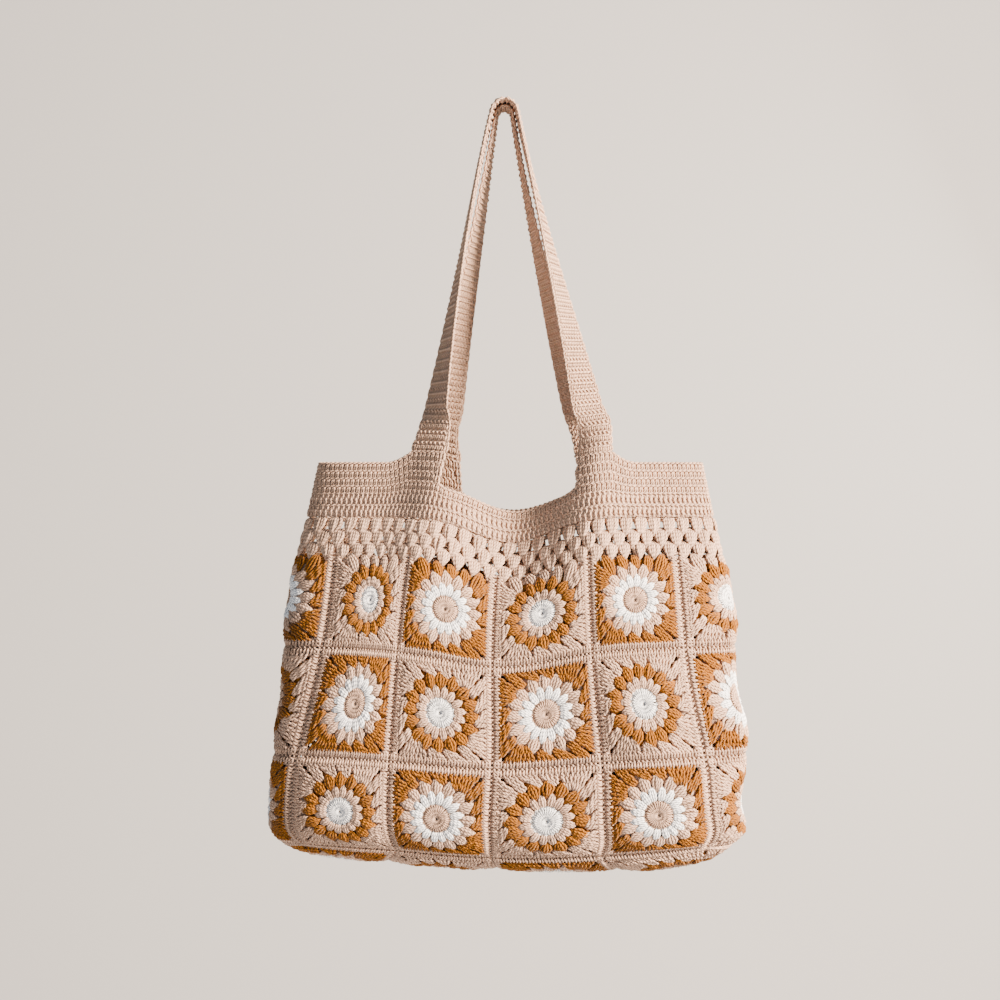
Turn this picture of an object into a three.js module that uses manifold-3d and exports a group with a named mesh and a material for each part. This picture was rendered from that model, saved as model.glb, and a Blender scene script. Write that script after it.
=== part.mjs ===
// A crocheted tote bag hanging by its two shoulder straps from one hook.
// Thirty-four joined sunburst squares make the body, three rows high and four squares wide, with a gusset
// one square deep on each side and a base of four squares. A yoke of open cluster rows gathers the top,
// a closely worked band finishes the mouth, and two straps rise from the band and lie over the hook,
// the front strap on top of the back one.
// Millimetres, +Z up, front towards -Y. The origin is where the hook bears under the back strap.
import * as THREE from "three";
import { mergeVertices } from "three/addons/utils/BufferGeometryUtils.js";
import Module from "manifold-3d";

const wasm = await Module();
wasm.setup();

// Driving sizes
const SQUARE = 90; // side of one square, from seam to seam
const FRONT_SQUARES = 4;
const GUSSET_SQUARES = 1;
const ROWS = 3;
const SQUARE_WALL = 4.2; // thickness of the puffed squares
const SQUARE_PUFF = 2.4; // how far a square's middle stands out from its seams
const JOIN_GAP = 0.3; // clearance between neighbouring pieces
const BASE_GAP = 0.6; // clearance along the seams of the base, where squares meet at an angle
const YOKE_HEIGHT = 32;
const YOKE_WALL = 3.6;
const EYELET_WIDTH = 4.6; // an open space between two clusters of the yoke
const EYELET_HEIGHT = 6;
const EYELET_ROWS = 2;
const EYELETS_PER_SQUARE = 6;
const BAND_LOW = 27; // height of the band at the middle of the front and of the back
const BAND_HIGH = 46; // height of the band at the sides of the bag
const BAND_WALL = 3.6;
const SHOULDER_RISE = 11; // how far the band climbs from the sides to the foot of a strap
const SHOULDER_RUN = 24; // length of that climb along the rim
const FOOT_STEP = 1; // rim taken up by the steep edge beside a strap's foot, towards the mouth
const STRAP_DROP = 319; // from the hook down to the rim at the sides
const STRAP_WIDTH = 30;
const STRAP_WALL = 3.6;
const STRAP_FOOT_BEND = 0.12; // how far up a leg its foot's direction reaches, as a share of the leg
const STRAP_TOP_BEND = 0.3; // how far down a leg its direction at the hook reaches, as a share of the leg
const STRAP_EDGE = 1; // chamfer along the strap's edges
const STRAP_LAYER_GAP = 0.5; // between the two straps where they lie on each other
const HOOK_RADIUS = 5.5;
const BASE_SAG_LEFT = 15; // how far the base hangs below its seams at its left end
const BASE_SAG_RIGHT = 24;

const AROUND = 2 * (FRONT_SQUARES + GUSSET_SQUARES); // squares round the bag
const FRONT = FRONT_SQUARES * SQUARE;
const GUSSET = GUSSET_SQUARES * SQUARE;
const HALF = FRONT_SQUARES / 2; // squares from the front's middle seam to its corner seam
const BODY_HEIGHT = ROWS * SQUARE;
const YOKE_TOP = BODY_HEIGHT + YOKE_HEIGHT;
const SIDE_RIM = YOKE_TOP + BAND_HIGH;
const Z_RIM = -STRAP_DROP;
const Z_YOKE_TOP = Z_RIM - BAND_HIGH;
const Z_BODY_TOP = Z_YOKE_TOP - YOKE_HEIGHT;

// Cross-sections of the bag from the bottom seam to the rim.
// level is the height along the cloth and z is the height in space. half is half the width, shift moves the
// middle sideways and turn slides the cloth round the bag, all shares of FRONT. front and back are depths as
// shares of GUSSET. corner is the exponent that squares the corners.
const SECTIONS = [
  {
    level: 0, z: Z_BODY_TOP - 2.82 * SQUARE,
    half: 0.556, shift: 0.006, turn: -0.008, front: -0.74, back: 0.12, corner: 4.4,
  },
  {
    level: 0.25 * SQUARE, z: Z_BODY_TOP - 2.67 * SQUARE,
    half: 0.578, shift: 0.01, turn: -0.017, front: -0.82, back: 0.18, corner: 4.2,
  },
  {
    level: 0.5 * SQUARE, z: Z_BODY_TOP - 2.46 * SQUARE,
    half: 0.582, shift: 0.013, turn: -0.027, front: -0.87, back: 0.19, corner: 4,
  },
  {
    level: SQUARE, z: Z_BODY_TOP - 1.96 * SQUARE,
    half: 0.579, shift: 0.017, turn: -0.037, front: -0.88, back: 0.2, corner: 4.4,
  },
  {
    level: 2 * SQUARE, z: Z_BODY_TOP - 0.92 * SQUARE,
    half: 0.557, shift: 0.015, turn: -0.045, front: -0.8, back: 0.2, corner: 4,
  },
  {
    level: BODY_HEIGHT, z: Z_BODY_TOP,
    half: 0.521, shift: 0.013, turn: -0.034, front: -0.65, back: 0.19, corner: 2.8,
  },
  {
    level: YOKE_TOP, z: Z_YOKE_TOP,
    half: 0.503, shift: 0.014, turn: -0.018, front: -0.55, back: 0.17, corner: 2.5,
  },
  {
    level: SIDE_RIM, z: Z_RIM,
    half: 0.477, shift: 0.015, turn: 0, front: -0.44, back: 0.15, corner: 2.4,
  },
];

// Folds and sags, each a soft bump over the cloth. u and row say where, in squares from the front's middle
// seam and in squares up from the bottom seam; wide and tall are its reach in squares. out pushes the cloth
// outwards as a share of GUSSET, lift raises it and slide moves it round the bag as shares of SQUARE.
const FOLDS = [
  { name: "front middle sags", u: 0.1, row: 3.8, wide: 0.6, tall: 1.9, out: 0, lift: -0.26, slide: 0 },
  { name: "front sags low down", u: 0, row: 1.6, wide: 1.2, tall: 1, out: 0, lift: -0.1, slide: 0 },
  { name: "back middle sags", u: 5, row: 3.6, wide: 0.7, tall: 2.1, out: 0, lift: -0.25, slide: 0 },
  { name: "front middle falls in", u: 0.16, row: 3.9, wide: 0.5, tall: 1, out: -0.21, lift: 0, slide: 0 },
  { name: "ridge under left strap", u: -0.78, row: 3.8, wide: 0.42, tall: 1.1, out: 0.14, lift: 0, slide: 0 },
  { name: "ridge under right strap", u: 1.05, row: 3.8, wide: 0.42, tall: 1.1, out: 0.15, lift: 0, slide: 0 },
  { name: "bottom seam hangs", u: 0.4, row: 0, wide: 1.6, tall: 0.8, out: 0, lift: -0.13, slide: 0 },
  { name: "bottom middle seam strays", u: -0.1, row: 0, wide: 1, tall: 1, out: 0, lift: 0, slide: -0.12 },
  { name: "left seam strays in", u: -1.9, row: 2.1, wide: 0.75, tall: 1.3, out: 0, lift: 0, slide: 0.36 },
  { name: "right seam strays in", u: 1.9, row: 1.7, wide: 0.8, tall: 1.1, out: 0, lift: 0, slide: -0.15 },
  { name: "left gusset dent", u: -2.5, row: 1.6, wide: 0.45, tall: 0.4, out: -0.05, lift: 0, slide: 0 },
  { name: "right gusset dent low", u: 2.55, row: 0.62, wide: 0.45, tall: 0.34, out: -0.1, lift: 0, slide: 0 },
  { name: "right gusset dent high", u: 2.5, row: 1.65, wide: 0.45, tall: 0.35, out: -0.1, lift: 0, slide: 0 },
  { name: "third column dents", u: 0.55, row: 1.5, wide: 0.35, tall: 0.5, out: -0.04, lift: 0, slide: 0 },
  { name: "fourth column swells", u: 1.5, row: 1.1, wide: 0.4, tall: 0.5, out: 0.04, lift: 0, slide: 0 },
];

// The two straps. layer is how many straps lie below this one on the hook, and deep is how far it lies along
// the hook as a share of STRAP_WIDTH. left and right are its legs: foot is the place on the rim in squares
// round the bag, twist says how soon the leg turns edge-on, and bow is how far it bends away from the other
// leg as a share of STRAP_DROP.
const STRAPS = [
  {
    name: "strap_front", layer: 1, deep: -0.2,
    left: { foot: -1.06, twist: 2.1, bow: 0.01 }, right: { foot: 1.02, twist: 1.6, bow: -0.012 },
  },
  {
    name: "strap_back", layer: 0, deep: 0.2,
    left: { foot: 5.85, twist: 1.3, bow: -0.01 }, right: { foot: 3.92, twist: 1.8, bow: -0.032 },
  },
];

const COLOURS = { cream: 0xd9c2b2, ochre: 0xb8711f, white: 0xf1eeea };

// Mesh resolution
const SECTION_POINTS = 240;
const SQUARE_STEPS = 5; // along each side of a square, and per square round the yoke and the band
const YOKE_STEPS = 1;
const BAND_STEPS = 2;
const SHOULDER_LINES = [0.2, 0.5, 1]; // places of the band's grid lines along its climb to a strap
const LEG_STEPS = 13;
const ARCH_STEPS = 8;
const FOOT_STEPS = 3; // steps over which a strap leaves the shape of the band
const SNAP = 1e-9; // places closer than this count as the same

// A value between rows of the section table, on a smooth curve through them.
function between(level, column) {
  const last = SECTIONS.length - 1;
  let k = 0;
  while (k < last - 1 && level > SECTIONS[k + 1].level) k += 1;
  const [a, b] = [SECTIONS[k], SECTIONS[k + 1]];
  const before = SECTIONS[Math.max(k - 1, 0)];
  const after = SECTIONS[Math.min(k + 2, last)];
  const span = b.level - a.level;
  const t = (level - a.level) / span;
  const slope = (p, q) => (q.level > p.level ? (q[column] - p[column]) / (q.level - p.level) : 0);
  const m0 = slope(before, b) * span;
  const m1 = slope(a, after) * span;
  if (t > 1) return b[column] + m1 * (t - 1);
  const [t2, t3] = [t * t, t * t * t];
  return (
    (2 * t3 - 3 * t2 + 1) * a[column] +
    (t3 - 2 * t2 + t) * m0 +
    (-2 * t3 + 3 * t2) * b[column] +
    (t3 - t2) * m1
  );
}

// The closed curve of one cross-section as points in x and y, with the length along it from its first point.
function makeLoop(level) {
  const half = between(level, "half") * FRONT;
  const front = between(level, "front") * GUSSET;
  const back = between(level, "back") * GUSSET;
  const power = 2 / between(level, "corner");
  const middle = between(level, "shift") * FRONT;
  const turn = between(level, "turn") * FRONT;
  const round = (value) => Math.sign(value) * Math.abs(value) ** power;
  const points = [];
  const lengths = [0];
  for (let i = 0; i <= SECTION_POINTS; i += 1) {
    const angle = (2 * Math.PI * i) / SECTION_POINTS - Math.PI / 2;
    const x = middle + half * round(Math.cos(angle));
    const y = (front + back) / 2 + ((back - front) / 2) * round(Math.sin(angle));
    points.push([x, y]);
    if (i > 0) lengths.push(lengths[i - 1] + Math.hypot(x - points[i - 1][0], y - points[i - 1][1]));
  }
  const total = lengths[SECTION_POINTS];
  return { points, lengths, total, turn };
}

const loops = new Map();
function loopAt(level) {
  const key = level.toFixed(4);
  if (!loops.has(key)) loops.set(key, makeLoop(level));
  return loops.get(key);
}

// What all folds do at one place, in millimetres.
function foldsAt(u, level) {
  const sum = { out: 0, lift: 0, slide: 0 };
  for (const fold of FOLDS) {
    const across = turnBetween(fold.u, u) / fold.wide;
    const up = (level / SQUARE - fold.row) / fold.tall;
    const bump = Math.exp(-(across ** 2) - up ** 2);
    sum.out += fold.out * GUSSET * bump;
    sum.lift += fold.lift * SQUARE * bump;
    sum.slide += fold.slide * SQUARE * bump;
  }
  return sum;
}

// Signed distance round the bag from one place to another, in squares.
function turnBetween(from, to) {
  const turn = (((to - from) % AROUND) + AROUND) % AROUND;
  return turn > AROUND / 2 ? turn - AROUND : turn;
}

// The outside of the cloth. u counts squares round the bag from the front's middle seam towards the viewer's
// right.
function shell(u, level) {
  const { points, lengths, total, turn } = loopAt(level);
  const { out, lift, slide } = foldsAt(u, level);
  let along = ((u / AROUND) * total + turn + slide) % total;
  if (along < 0) along += total;
  let low = 0;
  let high = SECTION_POINTS;
  while (high - low > 1) {
    const centre = (low + high) >> 1;
    if (lengths[centre] <= along) low = centre;
    else high = centre;
  }
  const share = (along - lengths[low]) / (lengths[high] - lengths[low]);
  const [x0, y0] = points[low];
  const [x1, y1] = points[high];
  const run = Math.hypot(x1 - x0, y1 - y0);
  return new THREE.Vector3(
    x0 + (x1 - x0) * share + (out * (y1 - y0)) / run,
    y0 + (y1 - y0) * share - (out * (x1 - x0)) / run,
    between(level, "z") + lift,
  );
}

const PROBE = 0.02; // in squares, the step used to find a direction on the cloth
const BASE_LEVELLING = 0.4; // how strongly the base's directions are drawn towards straight down

function crossed(along, up) {
  return new THREE.Vector3().crossVectors(along, up).normalize();
}

function shellNormal(u, level) {
  const step = PROBE * SQUARE;
  const low = Math.max(level - step, 0);
  const along = shell(u + PROBE, level).sub(shell(u - PROBE, level));
  const up = shell(u, level + step).sub(shell(u, low));
  return crossed(along, up);
}

// The base, a patch filled in between the four stretches of the bottom seam.
// s runs from the left corner to the right in squares, and t from the front seam to the back one in squares.
function base(s, t) {
  const p = s / FRONT_SQUARES;
  const q = t / GUSSET_SQUARES;
  const corner = (u) => shell(u, 0);
  const [frontLeft, frontRight] = [corner(-HALF), corner(HALF)];
  const [backLeft, backRight] = [corner(AROUND - HALF - GUSSET_SQUARES), corner(HALF + GUSSET_SQUARES)];
  const point = new THREE.Vector3()
    .addScaledVector(shell(s - HALF, 0), 1 - q)
    .addScaledVector(shell(AROUND - HALF - GUSSET_SQUARES - s, 0), q)
    .addScaledVector(shell(-HALF - t, 0), 1 - p)
    .addScaledVector(shell(HALF + t, 0), p)
    .addScaledVector(frontLeft, -(1 - p) * (1 - q))
    .addScaledVector(frontRight, -p * (1 - q))
    .addScaledVector(backLeft, -(1 - p) * q)
    .addScaledVector(backRight, -p * q);
  const sag = BASE_SAG_LEFT + (BASE_SAG_RIGHT - BASE_SAG_LEFT) * p * p;
  point.z -= sag * 4 * q * (1 - q) * (1 - (2 * p - 1) ** 6);
  return point;
}

// The direction the base faces, drawn a little towards straight down because its corners are nearly round.
function baseNormal(s, t) {
  const [s0, s1] = [Math.max(s - PROBE, 0), Math.min(s + PROBE, FRONT_SQUARES)];
  const [t0, t1] = [Math.max(t - PROBE, 0), Math.min(t + PROBE, GUSSET_SQUARES)];
  const across = base(s1, t).sub(base(s0, t)).divideScalar((s1 - s0) * SQUARE);
  const deep = base(s, t1).sub(base(s, t0)).divideScalar((t1 - t0) * SQUARE);
  const facing = new THREE.Vector3().crossVectors(deep, across);
  facing.z -= BASE_LEVELLING;
  return facing.normalize();
}

// The place on the base's edge that meets the wall at u.
function baseEdge(u) {
  const turn = (((u + HALF) % AROUND) + AROUND) % AROUND;
  const right = FRONT_SQUARES + GUSSET_SQUARES;
  if (turn <= FRONT_SQUARES) return [turn, 0];
  if (turn <= right) return [FRONT_SQUARES, turn - FRONT_SQUARES];
  if (turn <= right + FRONT_SQUARES) return [right + FRONT_SQUARES - turn, GUSSET_SQUARES];
  return [0, AROUND - turn];
}

// The direction a wall faces. Where it meets the base, both lean the same way, half between the two.
function wallNormal(u, level) {
  const own = shellNormal(u, level);
  return level > PROBE * SQUARE ? own : own.add(baseNormal(...baseEdge(u))).normalize();
}

// A point on the wall, or a distance out from it. Between the grid lines that all pieces share the wall is
// flat, so that neighbouring pieces stay parallel along their seams.
function wallPoint(u, level, out) {
  const line = Math.floor(u * SQUARE_STEPS + SNAP);
  const share = u * SQUARE_STEPS - line;
  const onLine = (k) => {
    const at = k / SQUARE_STEPS;
    return shell(at, level).addScaledVector(wallNormal(at, level), out);
  };
  const point = onLine(line);
  return share > SNAP ? point.lerp(onLine(line + 1), share) : point;
}

// A closed geometry from two sheets of points with the same rows and columns, joined along their edges.
// wraps says that the last column meets the first. turnRow and turnColumn split the edge strips along the
// first row and the last column the other way, where the piece that lies against them runs backwards.
function sheetSolid(outer, inner, { wraps = false, turnRow = false, turnColumn = false } = {}) {
  const rows = outer.length;
  const columns = outer[0].length;
  const position = [];
  for (const p of [outer, inner].flat(2)) position.push(p.x, p.y, p.z);
  const at = (side, r, c) => (side * rows + r) * columns + (c % columns);
  const index = [];
  const quad = (a, b, c, d) => index.push(a, b, c, a, c, d);
  const edgeQuad = (turn, a, b, c, d) => (turn ? quad(b, c, d, a) : quad(a, b, c, d));
  const lastColumn = wraps ? columns : columns - 1;
  for (let r = 0; r < rows - 1; r += 1) {
    for (let c = 0; c < lastColumn; c += 1) {
      quad(at(0, r, c), at(0, r, c + 1), at(0, r + 1, c + 1), at(0, r + 1, c));
      quad(at(1, r, c), at(1, r + 1, c), at(1, r + 1, c + 1), at(1, r, c + 1));
    }
  }
  for (let c = 0; c < lastColumn; c += 1) {
    edgeQuad(turnRow, at(0, 0, c), at(1, 0, c), at(1, 0, c + 1), at(0, 0, c + 1));
    quad(at(0, rows - 1, c), at(0, rows - 1, c + 1), at(1, rows - 1, c + 1), at(1, rows - 1, c));
  }
  for (let r = 0; r < rows - 1 && !wraps; r += 1) {
    quad(at(0, r, 0), at(0, r + 1, 0), at(1, r + 1, 0), at(1, r, 0));
    const c = columns - 1;
    edgeQuad(turnColumn, at(0, r, c), at(1, r, c), at(1, r + 1, c), at(0, r + 1, c));
  }
  const geometry = new THREE.BufferGeometry();
  geometry.setAttribute("position", new THREE.Float32BufferAttribute(position, 3));
  geometry.setIndex(index);
  return geometry;
}

// The places of a square's grid lines from 0 to 1, drawn in at each end by half the gap there.
function gridShares(startGap, endGap) {
  const shares = Array.from({ length: SQUARE_STEPS + 1 }, (_, i) => i / SQUARE_STEPS);
  shares[0] = startGap / 2 / SQUARE;
  shares[SQUARE_STEPS] = 1 - endGap / 2 / SQUARE;
  return shares;
}

const FREE_SHARES = gridShares(JOIN_GAP, JOIN_GAP);
const BASE_SHARES = gridShares(BASE_GAP, BASE_GAP);

// How far a square's cloth stands out from its seams, as a share of SQUARE_PUFF.
function puff(a, b) {
  return Math.sqrt(Math.max(Math.sin(Math.PI * a) * Math.sin(Math.PI * b), 0));
}

// One square from a function that gives the point at a distance out from its place, 0,0 and 1,1 being
// opposite corners, and from the places of its grid lines across and up.
function squareGeometry(across, up, pointAt, options) {
  const sheet = (depth) => up.map((b) => across.map((a) => pointAt(a, b, SQUARE_PUFF * puff(a, b) - depth)));
  return sheetSolid(sheet(0), sheet(SQUARE_WALL), options);
}

function wallSquare(column, row) {
  const up = gridShares(row === 0 ? BASE_GAP : JOIN_GAP, JOIN_GAP);
  return squareGeometry(FREE_SHARES, up, (a, b, out) => wallPoint(column + a, (row + b) * SQUARE, out));
}

function baseSquare(column) {
  const last = column === FRONT_SQUARES - 1;
  const across = gridShares(column === 0 ? BASE_GAP : JOIN_GAP, last ? BASE_GAP : JOIN_GAP);
  // Rows of the grid run from the back to the front, so that the outside faces down.
  const pointAt = (a, b, out) => {
    const s = column + a;
    const t = GUSSET_SQUARES * (1 - b);
    const normal = baseNormal(s, t);
    let wall = null;
    if (b > 1 - PROBE) wall = s - HALF;
    else if (b < PROBE) wall = AROUND - HALF - GUSSET_SQUARES - s;
    else if (s < PROBE) wall = -HALF - t;
    else if (s > FRONT_SQUARES - PROBE) wall = HALF + t;
    if (wall !== null) normal.add(shellNormal(wall, 0)).normalize();
    return base(s, t).addScaledVector(normal, out);
  };
  return squareGeometry(across, BASE_SHARES, pointAt, { turnRow: true, turnColumn: last });
}

// A ring of cloth round the bag, between two levels that may change with u.
function ringGeometry(columns, steps, lowLevel, highLevel, wall) {
  const shares = Array.from({ length: steps + 1 }, (_, r) => r / steps);
  const levelAt = (u, share) => lowLevel + (highLevel(u) - lowLevel) * share;
  const sheet = (out) => shares.map((share) => columns.map((u) => wallPoint(u, levelAt(u, share), out)));
  return sheetSolid(sheet(0), sheet(-wall), { wraps: true });
}

function manifoldOf(geometry) {
  const bare = geometry.index ? geometry.toNonIndexed() : geometry.clone();
  for (const name of Object.keys(bare.attributes)) if (name !== "position") bare.deleteAttribute(name);
  const merged = mergeVertices(bare, 1e-4);
  const mesh = new wasm.Mesh({
    numProp: 3,
    vertProperties: merged.attributes.position.array,
    triVerts: new Uint32Array(merged.index.array),
  });
  return new wasm.Manifold(mesh);
}

function geometryOf(solid) {
  const mesh = solid.getMesh();
  const geometry = new THREE.BufferGeometry();
  geometry.setAttribute("position", new THREE.Float32BufferAttribute(mesh.vertProperties, mesh.numProp));
  geometry.setIndex(new THREE.BufferAttribute(mesh.triVerts, 1));
  return geometry;
}

// A diamond-shaped prism through the wall, to cut one eyelet.
function eyeletCutter(u, level) {
  const across = EYELET_WIDTH / 2 / (loopAt(level).total / AROUND);
  const outline = [
    [u - across, level],
    [u, level - EYELET_HEIGHT / 2],
    [u + across, level],
    [u, level + EYELET_HEIGHT / 2],
  ];
  const normal = shellNormal(u, level);
  const shifted = (distance) => outline.map(([a, b]) => shell(a, b).addScaledVector(normal, distance));
  const centre = (points) => {
    const sum = points.reduce((total, p) => total.add(p), new THREE.Vector3());
    return sum.divideScalar(points.length);
  };
  const top = shifted(YOKE_WALL);
  const bottom = shifted(-2 * YOKE_WALL);
  const sheet = (points) => [points, points.map(() => centre(points))];
  return sheetSolid(sheet(top), sheet(bottom), { wraps: true });
}

function yokeGeometry() {
  const count = AROUND * SQUARE_STEPS;
  const columns = Array.from({ length: count }, (_, i) => (i * AROUND) / count);
  const low = BODY_HEIGHT + JOIN_GAP / 2;
  const high = YOKE_TOP - JOIN_GAP / 2;
  const ring = manifoldOf(ringGeometry(columns, YOKE_STEPS, low, () => high, YOKE_WALL));
  const cutters = [];
  for (let row = 0; row < EYELET_ROWS; row += 1) {
    const level = BODY_HEIGHT + (YOKE_HEIGHT * (row + 1)) / (EYELET_ROWS + 1);
    for (let k = 0; k < AROUND * EYELETS_PER_SQUARE; k += 1) {
      const u = (k + ((row + 1) % 2) / 2) / EYELETS_PER_SQUARE;
      cutters.push(manifoldOf(eyeletCutter(u, level)));
    }
  }
  return geometryOf(ring.subtract(wasm.Manifold.union(cutters)));
}

// Squares round the bag that a length along the rim covers.
function rimSpan(length) {
  return (length / loopAt(SIDE_RIM).total) * AROUND;
}

const FOOT_HALF = rimSpan(STRAP_WIDTH) / 2;
const MOUTH_REACH = 0.9 * HALF; // squares from a foot over which the band is low, up to past the middle

// The four strap feet in order round the bag. open is the side on which the band is low: 1 for growing u.
function strapFeet() {
  const [front, back] = STRAPS;
  return [
    { u: front.left.foot, open: 1 },
    { u: front.right.foot, open: -1 },
    { u: back.right.foot, open: 1 },
    { u: back.left.foot, open: -1 },
  ];
}

// The level of the band's upper edge.
function bandTop(u) {
  const shoulder = rimSpan(SHOULDER_RUN);
  let high = 0;
  let openSide = false;
  for (const foot of strapFeet()) {
    const inward = turnBetween(foot.u, u) * foot.open;
    if (Math.abs(inward) <= FOOT_HALF + SNAP) return SIDE_RIM + SHOULDER_RISE;
    if (inward > FOOT_HALF && inward < MOUTH_REACH) openSide = true;
    const beyond = -inward - FOOT_HALF;
    if (beyond > 0 && beyond < shoulder) high = (1 - beyond / shoulder) ** 2;
  }
  return openSide ? YOKE_TOP + BAND_LOW : SIDE_RIM + SHOULDER_RISE * high;
}

function bandGeometry() {
  const near = rimSpan(FOOT_STEP);
  const shoulder = rimSpan(SHOULDER_RUN);
  const columns = [];
  for (const foot of strapFeet()) {
    for (const at of [FOOT_HALF + near, FOOT_HALF, FOOT_HALF / 2, 0, -FOOT_HALF / 2, -FOOT_HALF]) {
      columns.push(foot.u + at * foot.open);
    }
    for (const share of SHOULDER_LINES) columns.push(foot.u - (FOOT_HALF + shoulder * share) * foot.open);
  }
  const count = AROUND * SQUARE_STEPS;
  for (let k = 0; k < count; k += 1) {
    const u = (k * AROUND) / count;
    const clear = strapFeet().every((foot) => {
      const inward = turnBetween(foot.u, u) * foot.open;
      return inward > FOOT_HALF + 2 * near || inward < -FOOT_HALF - shoulder - near;
    });
    if (clear) columns.push(u);
  }
  const turned = columns.map((u) => ((u % AROUND) + AROUND) % AROUND).sort((a, b) => a - b);
  const low = YOKE_TOP + JOIN_GAP / 2;
  return ringGeometry(turned, BAND_STEPS, low, bandTop, BAND_WALL);
}

// The closed outline of a strap's section, across its width and through its thickness, as shares of half.
function strapOutline() {
  const w = STRAP_WIDTH / 2;
  const t = STRAP_WALL / 2;
  const e = STRAP_EDGE;
  const inside = [[-w, -t + e], [-w + e, -t], [0, -t], [w - e, -t], [w, -t + e]];
  return [...inside, ...inside.map(([across, out]) => [-across, -out])];
}

// One foot of a strap: its point, its directions up the cloth and outwards, and where its section lies on
// the band.
function strapFoot(u) {
  const level = SIDE_RIM + SHOULDER_RISE;
  const outward = shellNormal(u, level);
  const point = shell(u, level).addScaledVector(outward, -STRAP_WALL / 2);
  const up = shell(u, level).sub(shell(u, level - PROBE * SQUARE)).normalize();
  const onBand = (across, through, rise) => {
    const place = u + across * (FOOT_HALF / (STRAP_WIDTH / 2));
    return wallPoint(place, level + rise, through - STRAP_WALL / 2);
  };
  return { point, up, outward, onBand };
}

// A strap leg from the band to the hook. side is -1 for the viewer's left leg and 1 for the right.
function strapLeg(leg, side, radius, deep) {
  const foot = strapFoot(leg.foot);
  const lean = Math.atan2(Math.abs(foot.point.x), -foot.point.z);
  const end = new THREE.Vector3(side * Math.cos(lean) * radius, deep, Math.sin(lean) * radius - HOOK_RADIUS);
  const endWay = new THREE.Vector3(-side * Math.sin(lean), 0, Math.cos(lean));
  const length = end.distanceTo(foot.point);
  const bow = new THREE.Vector3(side * leg.bow * STRAP_DROP, 0, 0);
  const curve = new THREE.CubicBezierCurve3(
    foot.point,
    foot.point.clone().addScaledVector(foot.up, length * STRAP_FOOT_BEND).add(bow),
    end.clone().addScaledVector(endWay, -length * STRAP_TOP_BEND).add(bow),
    end,
  );
  const sideways = new THREE.Vector3(side, 0, 0);
  const square = (direction, way) => direction.clone().addScaledVector(way, -direction.dot(way)).normalize();
  // The angle from sideways, as the leg lies at the hook, to the way it faces at its foot.
  const start = curve.getTangent(0);
  const flat = square(sideways, start);
  const facing = square(foot.outward, start);
  const turn = Math.atan2(new THREE.Vector3().crossVectors(flat, facing).dot(start), flat.dot(facing));
  const stations = [];
  for (let k = 0; k < LEG_STEPS; k += 1) {
    const share = k / LEG_STEPS;
    const way = curve.getTangent(share);
    const out = square(sideways, way).applyAxisAngle(way, turn * (1 - share) ** leg.twist);
    const across = new THREE.Vector3().crossVectors(out, way);
    stations.push({ point: curve.getPoint(share), out, across, step: k, foot });
  }
  return { stations, lean };
}

// The stations over the hook, from the left leg to the right one.
function strapArch(leanLeft, leanRight, radius, deep) {
  const from = Math.PI - leanLeft;
  const stations = [];
  for (let k = 0; k <= ARCH_STEPS; k += 1) {
    const angle = from + (leanRight - from) * (k / ARCH_STEPS);
    const out = new THREE.Vector3(Math.cos(angle), 0, Math.sin(angle));
    const point = new THREE.Vector3(0, deep, -HOOK_RADIUS).addScaledVector(out, radius);
    stations.push({ point, out, across: new THREE.Vector3(0, 1, 0) });
  }
  return stations;
}

// The closed outline of a strap at one station. Near its foot the strap still follows the bend of the band.
function strapRing(station, flip) {
  return strapOutline().map(([width, out]) => {
    const across = width * flip;
    const free = station.point.clone();
    free.addScaledVector(station.across, across).addScaledVector(station.out, out);
    const hold = station.foot ? Math.max(1 - station.step / FOOT_STEPS, 0) : 0;
    if (hold === 0) return free;
    const { up, outward, onBand } = station.foot;
    const growing = new THREE.Vector3().crossVectors(up, outward);
    const rise = (station.step / LEG_STEPS) * STRAP_DROP + JOIN_GAP;
    const held = onBand(across * Math.sign(station.across.dot(growing)), out, rise);
    return held.lerp(free, 1 - hold * hold * (3 - 2 * hold));
  });
}

function strapGeometry(strap) {
  const radius = HOOK_RADIUS + STRAP_WALL / 2 + strap.layer * (STRAP_WALL + STRAP_LAYER_GAP);
  const deep = strap.deep * STRAP_WIDTH;
  const left = strapLeg(strap.left, -1, radius, deep);
  const right = strapLeg(strap.right, 1, radius, deep);
  const arch = strapArch(left.lean, right.lean, radius, deep);
  return tubeSolid([
    ...left.stations.map((station) => strapRing(station, 1)),
    ...arch.map((station) => strapRing(station, 1)),
    ...right.stations.reverse().map((station) => strapRing(station, -1)),
  ]);
}

// A closed geometry through a row of closed outlines with the same number of points.
function tubeSolid(rings) {
  const count = rings[0].length;
  const position = rings.flat().flatMap((p) => [p.x, p.y, p.z]);
  const index = [];
  for (let r = 0; r < rings.length - 1; r += 1) {
    for (let k = 0; k < count; k += 1) {
      const [a, b] = [r * count + k, r * count + ((k + 1) % count)];
      index.push(a, b, b + count, a, b + count, a + count);
    }
  }
  // Each end is closed by strips across it, from each point to the one opposite.
  const last = (rings.length - 1) * count;
  for (let k = 0; k < count / 2 - 1; k += 1) {
    const opposite = count - 1 - k;
    index.push(k, opposite, opposite - 1, k, opposite - 1, k + 1);
    index.push(last + k, last + k + 1, last + opposite - 1, last + k, last + opposite - 1, last + opposite);
  }
  const geometry = new THREE.BufferGeometry();
  geometry.setAttribute("position", new THREE.Float32BufferAttribute(position, 3));
  geometry.setIndex(index);
  return geometry;
}

function cloth(name, colour, geometry) {
  geometry.computeVertexNormals();
  const material = new THREE.MeshStandardMaterial({ color: colour, roughness: 0.95, metalness: 0 });
  const mesh = new THREE.Mesh(geometry, material);
  mesh.name = name;
  return mesh;
}

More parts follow.
